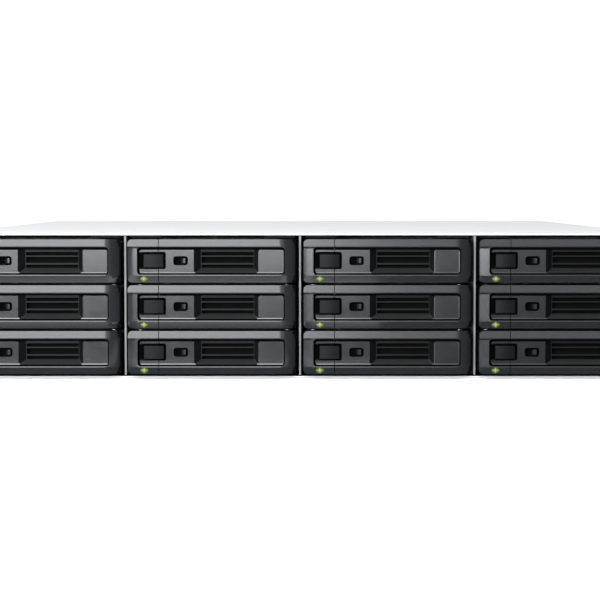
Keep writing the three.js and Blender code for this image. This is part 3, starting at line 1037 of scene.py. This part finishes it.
def spring_strip():
    """Grounding springs under the cover's front edge, beside each divider."""
    z = spans("top_cover")[2][1] - 2.95
    strips = []
    for divider in range(1, 4):
        centre = middle(spans(f"bay_divider_{divider}")[0])
        for side in (-1, 1):
            x = sorted((centre + side * 3, centre + side * 21.5))
            strips.append(block(x, (-259, -252), (z, z + 0.3)))
            strips.append(block(x, (-252.5, -252), (z, z + 1.5)))
    return cluster(strips, 0.1)


def make_case():
    fixed(cover_shell(), "cover_shell", cover_paint, "top_cover", slot="painted_steel")
    fixed(cover_screws(), "cover_screws", screw_steel)
    paint_inside_shade(fixed(chassis_shell(), "chassis_shell", inner_paint, "chassis_base", slot="painted_steel"))
    fixed(chassis_rivets(), "chassis_rivets", screw_steel)
    fixed(wall_guides(), "wall_guides", sled_plastic)
    fixed(standoffs(), "board_standoffs", brass)
    fixed(spring_strip(), "ground_springs", ear_paint)
    sheet = piece(divider_sheet(), "divider_sheet", divider_paint)
    guides = piece(divider_guides(), "divider_guides", black_and_shade_plastic)
    for i in range(1, 4):
        centre = middle(spans(f"bay_divider_{i}")[0]) * MM
        for master in (sheet, guides):
            obj = add_object(f"{master.name}_{i}", master.data)
            obj.location.x = centre
            nodes = (f"bay_divider_{i}",) if master is sheet else ()
            placed(obj, "root", *nodes)
    bpy.data.objects.remove(sheet)
    bpy.data.objects.remove(guides)


# ------------------------------------------------------------------ rear
def rear_wall():
    x, y, z = spans("rear_panel")
    wall = block(x, y, z)
    through = inset(y, -1)
    supply, ports = spans("power_supply"), spans("lan_ports")
    usb = spans("usb_ports")
    openings = [
        block(inset(supply[0], -0.3), through, (z[0] - 1, 42.3)),
        block(inset((usb[0][0], ports[0][1]), -0.3), through, inset(ports[2], -0.3)),
    ]
    cut(wall, *openings)
    fields = [hexagons(span, (32, 78), 7.0, 3.1, through) for span in ((-198, -132), (-66, -4), (10, 104))]
    fields.append(hexagons((122, 200), (50, 78), 7.0, 3.1, through))
    cut(wall, gather(fields))
    seats = [block((-122, -78), through, height) for height in ((34, 45), (52, 63))]
    seats.append(pin(28, 15, 3.2, 20, through))
    cut(wall, gather(seats))
    return soften(wall, 0.12, 1)


def slot_covers():
    """Two expansion slot covers with pressed louvres, screwed over their openings."""
    y = spans("rear_panel")[1]
    covers = []
    for low in (32.5, 50.5):
        cover = along_y(rounded((-125, -72), (low, low + 14), 1.5), (y[1] - 0.05, y[1] + 0.9))
        vents = [along_y(rounded((place, place + 5), (low + 5.2, low + 8.8), 1.6), (y[0], y[1] + 2))
                 for place in range(-119, -84, 7)]
        covers.append(cut(cover, gather(vents)))
    return cluster(covers, 0.15)


def rear_screws():
    x, (_, back), _ = spans("rear_panel")
    places = [(side, height) for side in (x[0] + 6, x[1] - 6) for height in (12, 45, 70)]
    places += [(place, 7) for place in (-185, -100, 40, 105)]
    places += [(-76, 39.5), (-76, 57.5), (112, 38), (112, 12)]
    return screw_heads([facing((px, back, pz), (0, 1, 0)) for px, pz in places], 2.6, 1.2)


def supply_case():
    x, y, z = spans("power_supply")
    back = y[1] - SUPPLY_STEP
    case = block(x, (y[0], back), z)
    inlet = spans("power_inlet")
    pocket = block(inset(inlet[0], -0.3), (inlet[1][0] - 0.3, back + 1), inset(inlet[2], -0.3))
    bore = pin(*SUPPLY_FAN, 15.5, 40, (back - 14, back + 1))
    sides = [along_y(rounded((place, place + 2.2), (z[0] + 36, z[0] + 39.2), 1), (back - 6, back + 1))
             for place in range(122, 158, 4)]
    cut(case, pocket, bore, gather(sides))
    deep, high = (y[0] - 1, y[0] + 3), (z[0] + 6, z[0] + 30)
    cut(case, gather([block((place, place + 4), deep, high) for place in range(126, 198, 8)]))
    return soften(case, 0.35)


def supply_guard():
    """The fan's wire guard: rings on two crossed wires."""
    y = spans("power_supply")[1][1] - SUPPLY_STEP
    rings = []
    for radius in (5.0, 8.5, 12.0, 15.0):
        outer = pin(*SUPPLY_FAN, radius + 0.45, 40, (y - 0.4, y + 0.5))
        rings.append(cut(outer, pin(*SUPPLY_FAN, radius - 0.45, 40, (y - 1, y + 1))))
    fx, fz = SUPPLY_FAN
    bars = [block(inset((fx, fx), -16.5), (y - 0.9, y - 0.2), about(fz, 0.9))]
    bars.append(block(about(fx, 0.9), (y - 0.9, y - 0.2), inset((fz, fz), -16.5)))
    return soften(gather(rings + bars), 0.12, 1)


def supply_handle():
    """The pull handle: a bent rod across the fan."""
    y = spans("power_supply")[1]
    (x0, x1), z, r, corner = (161.5, 197.5), 21.5, 1.45, 5
    start, turn = y[1] - 13, y[1] - r - corner
    quarter = [0.1 * math.pi * i for i in range(6)]
    swings = [(corner * math.cos(a), corner * math.sin(a)) for a in quarter]
    path = [(x0, start), (x0, turn)] + [(x0 + corner - c, turn + s) for c, s in swings]
    path += [(x1 - corner + s, turn + c) for c, s in swings] + [(x1, turn), (x1, start)]
    around = [(r * math.cos(a), r * math.sin(a)) for a in (2 * math.pi * k / 14 for k in range(14))]
    loops = []
    for i, (px, py) in enumerate(path):
        ax, ay = path[max(0, i - 1)]
        bx, by = path[min(len(path) - 1, i + 1)]
        across = Vector((by - ay, ax - bx)).normalized()
        loops.append([(px + across.x * u, py + across.y * u, z + v) for u, v in around])
    rod = loft(loops)
    rod.data.shade_smooth()
    return rod


def supply_latch():
    """The release tab beside the handle."""
    y = spans("power_supply")[1][1] - SUPPLY_STEP
    tab = along_y(rounded((199.2, 203.2), (4, 16), 0.8, 3), (y - 0.2, y + 7))
    ribs = [block((198.5, 204), about(y + 2 + 1.5 * i, 0.6), (4, 4.6)) for i in range(3)]
    return soften(cut(tab, *ribs), 0.25)


def fan_blades(count, inner, outer, chord, y, twist):
    """Curved blades round the Y axis, as one open set of thin bodies."""
    steps = 7
    profile = ((-1, 0), (-0.4, 0.55), (0.3, 0.6), (1, 0.05), (1, -0.05), (0.3, -0.35), (-0.4, -0.4))
    blades = []
    for k in range(count):
        start = 2 * math.pi * k / count
        loops = []
        for i in range(steps):
            share = i / (steps - 1)
            radius = inner + (outer - inner) * share
            lean = start + 0.3 * share * share
            half = 0.5 * chord * (0.85 + 0.35 * share)
            pitch = twist * (1 - 0.35 * share)
            loop = []
            for along, thick in profile:
                sweep = along * half * math.cos(pitch) - thick * math.sin(pitch)
                rise = along * half * math.sin(pitch) + thick * math.cos(pitch) + 0.8 * (1 - along * along)
                angle = lean + sweep / radius
                loop.append((radius * math.cos(angle), y + rise, radius * math.sin(angle)))
            loops.append(loop)
        blade = loft(loops)
        blade.data.shade_smooth()
        blades.append(blade)
    return gather(blades)


def supply_fan():
    y = spans("power_supply")[1][1] - SUPPLY_STEP
    hub = pin(0, 0, 6.5, 28, (y - 9, y - 2.5))
    fan = gather([soften(hub, 0.6), fan_blades(7, 6.2, 14.8, 7, y - 6, 0.7)])
    fan.data.transform(Matrix.Translation((SUPPLY_FAN[0], 0, SUPPLY_FAN[1])))
    return fan


def inlet_body():
    """A three-pin mains inlet: two of the socket's corners are cut."""
    x, y, z = spans("power_inlet")
    shell = along_y(rounded(x, z, 1.2), (y[0], y[1]))
    mx, mz = middle(x), middle(z)
    w, h = 11.8, 8.0
    socket = [(mx - w, mz - h), (mx + w, mz - h), (mx + w, mz + h - 4.5), (mx + w - 4.5, mz + h),
              (mx - w + 4.5, mz + h), (mx - w, mz + h - 4.5)]
    cut(shell, along_y(socket, (y[1] - 15, y[1] + 1)))
    frame = along_y(rounded(inset(x, 0.9), inset(z, 1.3), 1.2), (y[1] - 0.5, y[1] + 1))
    cut(shell, cut(frame, along_y(rounded(inset(x, 1.4), inset(z, 1.9), 1.0), (y[1] - 1, y[1] + 2))))
    return soften(shell, 0.3)


def inlet_pins():
    x, y, z = spans("power_inlet")
    mx, mz = middle(x), middle(z)
    deep = (y[1] - 16, y[1] - 4)
    pins = [block(about(mx + dx, 2), deep, about(mz + dz, 4)) for dx, dz in ((-7, -1.5), (0, 2.5), (7, -1.5))]
    return soften(gather(pins), 0.45)


def port_openings(node, columns, rows):
    x, _, z = spans(node)
    wide, high = (x[1] - x[0]) / columns, (z[1] - z[0]) / rows
    return [(x[0] + (i + 0.5) * wide, z[0] + (j + 0.5) * high) for i in range(columns) for j in range(rows)]


def lan_shell():
    x, y, z = spans("lan_ports")
    face = (y[1] - 1, y[1] + 1)
    tools = [block(about(x[0] + 17 * i, 0.35), face, inset(z, -1)) for i in (1, 2, 3)]
    half = [(3.2, -4.6), (3.2, -3.4), (5.9, -3.4), (5.9, 4.4)]
    outline = half + [(-dx, dz) for dx, dz in reversed(half)]
    for px, pz in port_openings("lan_ports", 4, 1):
        tools.append(along_y([(px + dx, pz + dz) for dx, dz in outline], (y[1] - 13.5, y[1] + 1)))
        for side in (-1, 1):
            window = about(px + side * LAN_LAMP_X, 2.4)
            tools.append(block(window, (y[1] - 1.2, y[1] + 1), (z[1] - 1.6, z[1] - 0.4)))
    return soften(cut(block(x, y, z), gather(tools)), 0.15, 1)


def lan_contacts():
    back = spans("lan_ports")[1][1]
    pins = []
    for px, pz in port_openings("lan_ports", 4, 1):
        top = pz + 3.6
        slope = [(back - 13, top), (back - 3, top + 0.3), (back - 3, top + 0.7), (back - 13, top + 0.5)]
        pins += [along_x(slope, about(px + (i - 3.5) * 1.02, 0.4)) for i in range(8)]
    return cluster(pins, 0.06)


def lan_lamps():
    _, y, z = spans("lan_ports")
    deep, high = (y[1] - 1.1, y[1] - 0.3), (z[1] - 1.45, z[1] - 0.55)
    lamps = [block(about(px + side * LAN_LAMP_X, 2.0), deep, high)
             for px, _ in port_openings("lan_ports", 4, 1) for side in (-1, 1)]
    return cluster(lamps, 0.12)


def usb_shell():
    x, y, z = spans("usb_ports")
    shell = block(x, y, z)
    tools = [along_y(rounded(about(px, 12.9), about(pz, 5.2), 0.5, 2), (y[1] - 12, y[1] + 1))
             for px, pz in port_openings("usb_ports", 1, 2)]
    return soften(cut(shell, gather(tools)), 0.2, 1)


def usb_tongues():
    y = spans("usb_ports")[1]
    tongues = [block(about(px, 11.2), (y[1] - 12.2, y[1] - 1.6), (pz + 0.5, pz + 2.0))
               for px, pz in port_openings("usb_ports", 1, 2)]
    return cluster(tongues, 0.25)


def darken_openings(obj, depth=0.7):
    """Gives the inside of a port block a dark finish."""
    obj.data.materials.append(black_plastic)
    front = max(v.co.y for v in obj.data.vertices) - depth * MM
    for polygon in obj.data.polygons:
        polygon.material_index = 1 if polygon.center.y < front else 0
    return obj


def make_rear():
    fixed(rear_wall(), "rear_wall", zinc_sheet, "rear_panel", slot="bare_steel")
    fixed(slot_covers(), "slot_covers", bright_steel)
    fixed(rear_screws(), "rear_screws", screw_steel)
    fixed(supply_case(), "supply_case", zinc_sheet, "power_supply", slot="supply_case")
    fixed(supply_guard(), "supply_guard", bright_steel)
    fixed(supply_handle(), "supply_handle", black_plastic)
    fixed(supply_latch(), "supply_latch", latch_plastic)
    fixed(supply_fan(), "supply_fan", black_plastic)
    fixed(inlet_body(), "inlet_body", black_plastic, "power_inlet", slot="inlet_plastic")
    fixed(inlet_pins(), "inlet_pins", bright_steel)
    darken_openings(fixed(lan_shell(), "lan_shell", bright_steel, "lan_ports", slot="port_shell"))
    fixed(lan_contacts(), "lan_contacts", gold)
    fixed(lan_lamps(), "lan_lamps", lens_green)
    darken_openings(fixed(usb_shell(), "usb_shell", bright_steel, "usb_ports", slot="port_shell"))
    fixed(usb_tongues(), "usb_tongues", usb_plastic)


# ------------------------------------------------------------------ electronics
def backplane_board():
    x, y, z = spans("backplane")
    sheet = (y[1] - 2.4, y[1])
    windows = []
    for i in range(1, TRAYS + 1):
        origin = tray_origin(i) / MM
        for shift, width in ((0, 50), (40, 16)):
            outline = rounded(about(origin.x + shift, width), (origin.z + 13, origin.z + 22), 1.5)
            windows.append(along_y(outline, inset(sheet, -1)))
    return soften(cut(along_y(rounded(x, z, 2), sheet), gather(windows)), 0.15, 1)


def backplane_sockets():
    y = spans("backplane")[1]
    sockets = []
    for i in range(1, TRAYS + 1):
        origin = tray_origin(i) / MM
        shell = block(about(origin.x - 18, 40), (y[0], y[1] - 2.3), (origin.z + 4.6, origin.z + 9.6))
        ways = [block(span, (y[0] - 1, y[0] + 5), (origin.z + 6.1, origin.z + 8.1))
                for span in (about(origin.x - 27, 18), about(origin.x - 8, 16))]
        sockets.append(cut(shell, *ways))
    return cluster(sockets, 0.25)


def board_sheet():
    x, y, z = spans("main_board")
    sheet = along_z(rounded(x, y, 3), (z[0], z[0] + 1.6))
    corners = [(px, py) for px in (-196, 100) for py in (-30, 250)]
    holes = [post(*corner, 1.6, 16, (z[0] - 1, z[0] + 3)) for corner in corners]
    return soften(cut(sheet, gather(holes)), 0.12, 1)


def memory_modules():
    low, high = spans("main_board")[2]
    modules = []
    for x in MODULES_X:
        modules.append(block(about(x + 3, 1.3), (-18, 111), (low + 3, high - 0.2)))
        for place in range(-12, 100, 14):
            for side in ((x + 3.6, x + 4.7), (x + 1.3, x + 2.4)):
                modules.append(block(side, (place, place + 10), (low + 12, high - 5)))
    return cluster(modules, 0.1)


def board_blocks():
    """Module sockets, connectors and chips on the main board, as x span, y span and height."""
    level = spans("main_board")[2][0] + BOARD_TOP
    boxes = [((x + 0.3, x + 5.7), (-20, 113), 5) for x in MODULES_X]
    boxes += [((-119, -96), (-28, -4), 9), ((-119, -96), (0, 58), 11.5)]
    boxes += [((-170, -140), (150, 180), 2.4), ((-150, -132), (60, 78), 1.4)]
    boxes += [((-104, -92), (150 + 14 * i, 160 + 14 * i), 1.2) for i in range(5)]
    boxes += [((66 + 9 * i, 71 + 9 * i), (20, 60), 1.6) for i in range(4)]
    return cluster([block(x, y, (level, level + height)) for x, y, height in boxes], 0.3)


def capacitors():
    level = spans("main_board")[2][0] + BOARD_TOP
    places = [Vector((-84, 18 + 9 * i, level)) for i in range(10)]
    places += [Vector((24, 118 + 9 * i, level)) for i in range(9)]
    return soften(repeat(turned(((2.6, 0), (2.6, 6.6), (2.2, 7.0)), 16), places), 0.2, 1)


def heatsink_fins():
    x, y, z = spans("cpu_heatsink")
    base = block(x, y, (z[0], z[0] + 5.5))
    count = 25
    pitch = (x[1] - x[0] - 0.9) / (count - 1)
    fins = [block((x[0] + i * pitch, x[0] + i * pitch + 0.9), y, (z[0] + 5.4, z[1])) for i in range(count)]
    return soften(join(base, gather(fins)), 0.1, 1)


def make_electronics():
    fixed(backplane_board(), "backplane_board", board_green, "backplane", slot="circuit_board")
    fixed(backplane_sockets(), "backplane_sockets", black_plastic)
    fixed(board_sheet(), "board_sheet", board_green, "main_board", slot="circuit_board")
    fixed(memory_modules(), "memory_modules", board_green)
    fixed(board_blocks(), "board_blocks", black_plastic)
    fixed(capacitors(), "capacitors", bright_steel)
    fixed(heatsink_fins(), "heatsink_fins", brushed_aluminium, "cpu_heatsink", slot="heatsink_metal")


# ------------------------------------------------------------------ fans
def fan_housing(x, y, z):
    """A square frame with a flared bore, corner holes, and struts to the motor's seat."""
    frame = along_y(rounded(x, z, 3), y)
    cx, cz = middle(x), middle(z)
    through = inset(y, -1)
    flare = ((39.6, y[0] - 0.5), (38.4, y[0] + 3), (38.2, y[1] - 3), (39.6, y[1] + 0.5))
    tools = [turned(flare, 56, "y", (cx, cz))]
    corners = [(cx + sx * 35.75, cz + sz * 35.75) for sx in (-1, 1) for sz in (-1, 1)]
    tools.append(gather([pin(*corner, 2.1, 16, through) for corner in corners]))
    waist = [block(about(cx + side * 40.5, 8), inset(y, 4.5), about(cz, 50)) for side in (-1, 1)]
    tools.append(gather([cut(w, pin(cx, cz, 39.4, 56, through)) for w in waist]))
    cut(frame, *tools)
    plane = (y[1] - 5.5, y[1] - 2.5)
    struts = []
    for k in range(4):
        arm = block((14, 38.9), plane, about(0, 2.6))
        turn = Matrix.Rotation(math.radians(38 + 90 * k), 4, "Y")
        arm.data.transform(Matrix.Translation((cx, 0, cz)) @ turn)
        struts.append(arm)
    seat = join(pin(cx, cz, 17, 36, plane), *struts)
    cut(seat, pin(cx, cz, 1.9, 16, (y[1] - 7, y[1])))
    return soften(join(frame, seat), 0.3)


def fan_rotor(x, y, z):
    hub = turned(((14.5, y[0]), (16.4, y[0] + 0.9), (17.0, y[0] + 2.6), (17.0, y[0] + 21.8)), 40, "y")
    shaft = pin(0, 0, 1.6, 16, (y[0] + 21.5, y[1]))
    rotor = gather([soften(join(hub, shaft), 0.25), fan_blades(7, 16.6, 37, 19, y[0] + 11, 0.75)])
    rotor.data.transform(Matrix.Translation((middle(x), 0, middle(z))))
    return rotor


def make_fans():
    for i in range(1, 4):
        frame_x, frame_y, frame_z = spans(f"fan_frame_{i}")
        housing = fan_housing(frame_x, frame_y, frame_z)
        fixed(housing, f"fan_housing_{i}", fan_plastic, f"fan_frame_{i}", slot="fan_plastic")
        node = f"fan_rotor_{i}"
        rotor = fan_rotor(frame_x, spans(node)[1], frame_z)
        fixed(rotor, f"fan_blades_{i}", rotor_plastic, node, slot="rotor_plastic", body=f"fan_{i}")


# ------------------------------------------------------------------ rack ears
def ear_slots(side, high, radius, y):
    """The openings for the rack screws."""
    x = about(side * EAR_SLOT_X, 10.4)
    return gather([along_y(rounded(x, about(place, high), radius), y) for place in EAR_SLOT_Z])


def ear_flange(side, name):
    x, y, z = spans(f"rack_ear_{name}")
    inner = x[1] if side < 0 else x[0]
    web_x = sorted((inner, inner + side * 1.5))
    plate = along_y(rounded(x, z, 1.5), (y[0], y[0] + 2))
    join(plate, block(web_x, (y[0] + 1, y[1]), z))
    slots = ear_slots(side, 6.8, 3.3, inset((y[0], y[0] + 2), -1))
    holes = [along_x(ellipse(place, height, 1.8, 1.8, 14), inset(web_x, -1))
             for place in (-245, -215) for height in (20, 68)]
    return soften(cut(plate, slots, gather(holes)), 0.3)


def ear_lens(index, radius, y):
    """A round body at one of the two small lamps under the power button."""
    px, _, pz = map(middle, spans("power_button"))
    return pin(px, pz - 9.5 - 4.5 * index, radius, 18, y)


def ear_cover(side, name):
    """The moulded cap over the ear: chamfered, with slots over the rack screws."""
    x, y, z = spans(f"ear_bezel_{name}")
    inner = sorted((side * 212.2, side * EAR_SLOT_X))
    body = loft([
        [(px, level, pz) for px, pz in rounded(inset(x, amount), inset(z, amount), 3.0 - 0.6 * amount)]
        for amount, level in ((2.0, y[0]), (0.9, y[0] + 0.5), (0.0, y[0] + 2.2), (0.0, y[1]))
    ])
    step = block(sorted((side * 211, side * 215.5)), (-265.3, y[1] + 1), inset(z, -1))
    slots = ear_slots(side, 7, 3.4, inset(y, -1))
    grip = [block(inset(inner, 3), (y[0] - 1, y[0] + 0.8), about(22 + 3.2 * i, 1.0)) for i in range(6)]
    cut(body, step, slots, gather(grip))
    if side < 0:
        px, _, pz = map(middle, spans("power_button"))
        well = pin(px, pz, 5.4, 36, (y[0] - 1, -268.4))
        cut(body, well, *(ear_lens(i, 1.35, (y[0] - 1, y[0] + 2)) for i in range(2)))
    return soften(body, 0.25)


def ear_lenses():
    front = spans("ear_bezel_left")[1][0]
    return soften(gather([ear_lens(i, 1.25, (front + 0.25, front + 2)) for i in range(2)]), 0.25)


def power_cap():
    """A dished button with a ring round its edge."""
    x, y, z = spans("power_button")
    front = y[0]
    profile = [(3.1, front + 0.5), (3.7, front + 0.25), (4.3, front), (4.8, front + 0.25), (5.0, front + 0.8)]
    cap = turned(profile + [(5.0, y[1])], 40, "y", (middle(x), middle(z)))
    cap.data.shade_smooth()
    return soften(cap, 0.1)


def make_ears():
    for side, name in ((-1, "left"), (1, "right")):
        flange, cover = ear_flange(side, name), ear_cover(side, name)
        fixed(flange, f"ear_flange_{name}", ear_paint, f"rack_ear_{name}", slot="bare_steel")
        fixed(cover, f"ear_cover_{name}", tray_plastic, f"ear_bezel_{name}", slot="bezel_plastic")
    fixed(ear_lenses(), "ear_lenses", lens_green)
    cap, body = power_cap(), "power_button"
    fixed(cap, "power_cap", button_plastic, body, slot="power_button_plastic", body=body)


# ------------------------------------------------------------------ stage, lights and camera
def make_floor():
    bpy.ops.mesh.primitive_plane_add(size=FLOOR_SIZE, location=(0, 0, -0.0005))
    floor = bpy.context.object
    floor.name = "floor"
    look = Look("floor_look", (0.93, 0.93, 0.93), 0.7, specular=0.1)
    look.set("Emission Color", (1, 1, 1, 1))
    look.set("Emission Strength", FLOOR_GLOW)
    look.tint(look.noise(3), 0.005)
    floor.data.materials.append(look.material)
    floor.visible_glossy = False


def make_world():
    """A white backdrop to look at, and a room to be lit by: dim before the unit, pale behind it."""
    world = bpy.data.worlds.new("studio")
    scene.world = world
    world.use_nodes = True
    tree = world.node_tree
    place = add_node(tree, "ShaderNodeTexCoord").outputs["Generated"]
    behind = add_node(tree, "ShaderNodeSeparateXYZ", Vector=place).outputs["Y"]
    depth = add_node(
        tree, "ShaderNodeMapRange", Value=behind, From_Min=-0.05, From_Max=0.5, To_Min=ROOM, To_Max=BACK_ROOM
    )
    depth.interpolation_type = "SMOOTHSTEP"
    room = tree.nodes["Background"]
    feed(tree, room, {"Color": (0.97, 0.985, 1, 1), "Strength": depth.outputs["Result"]})
    backdrop = add_node(tree, "ShaderNodeBackground", Color=(1, 1, 1, 1), Strength=BACKDROP)
    seen = add_node(tree, "ShaderNodeLightPath").outputs["Is Camera Ray"]
    mix = add_node(tree, "ShaderNodeMixShader", Fac=seen)
    tree.links.new(room.outputs["Background"], mix.inputs[1])
    tree.links.new(backdrop.outputs["Background"], mix.inputs[2])
    tree.links.new(mix.outputs["Shader"], tree.nodes["World Output"].inputs["Surface"])


def make_softbox(name, x, z, y, radiance):
    """An upright softbox that faces the unit's front, spanning x and z at depth y, in metres."""
    size = (x[1] - x[0], z[1] - z[0])
    data = bpy.data.lights.new(name, "AREA")
    data.shape = "RECTANGLE"
    data.size, data.size_y = size
    data.energy = radiance * math.pi * size[0] * size[1]
    light = add_object(name, data)
    light.location = (middle(x), y, middle(z))
    light.rotation_euler = (math.pi / 2, 0, 0)
    light.visible_camera = False
    data.color = LIGHT_TINT
    return light


def make_bounce(x, y):
    """A low panel on the floor in front, for the faces that look down."""
    light = make_softbox("bounce", x, y, 0, BOUNCE_RADIANCE)
    light.location = (middle(x), middle(y), BOUNCE_Z)
    light.rotation_euler = (math.pi, 0, 0)


def make_sun():
    """Even light from above, a little in front, soft enough to leave hardly any shadow."""
    data = bpy.data.lights.new("overhead", "SUN")
    data.energy = SUN_STRENGTH
    data.angle = math.radians(50)
    light = add_object("overhead", data)
    light.rotation_euler = (math.radians(12), 0, 0)


def make_camera():
    """Level with a point above the case and looking a little down at it, from straight ahead."""
    data = bpy.data.cameras.new("camera")
    data.sensor_width = 36
    data.lens = CAMERA_LENS
    camera = add_object("camera", data)
    camera.location = CAMERA_PLACE
    camera.rotation_euler = (math.pi / 2 - math.radians(CAMERA_PITCH), 0, 0)
    data.clip_start = 0.05
    data.clip_end = 100
    scene.camera = camera


make_camera()
make_floor()
make_world()
make_softbox("key", (-0.72, 0.07), (0.043, 0.62), LIGHT_Y, KEY_RADIANCE)
make_softbox("side", (-1.35, -0.72), (0.045, 0.62), LIGHT_Y, SIDE_RADIANCE)
make_softbox("high", (-1.8, 0.055), (0.74, 1.5), LIGHT_Y, HIGH_RADIANCE)
make_softbox("edge", (0.055, 0.8), (0.74, 1.5), LIGHT_Y, EDGE_RADIANCE)
make_softbox("fill", (0.07, 0.8), (0.043, 0.74), LIGHT_Y, FILL_RADIANCE)
make_bounce((-0.8, 0.05), (-0.334, -0.303))
make_sun()
make_case()
make_rear()
make_electronics()
make_fans()
make_ears()
make_trays()

scene.view_settings.view_transform = "Standard"
scene.view_settings.look = "None"
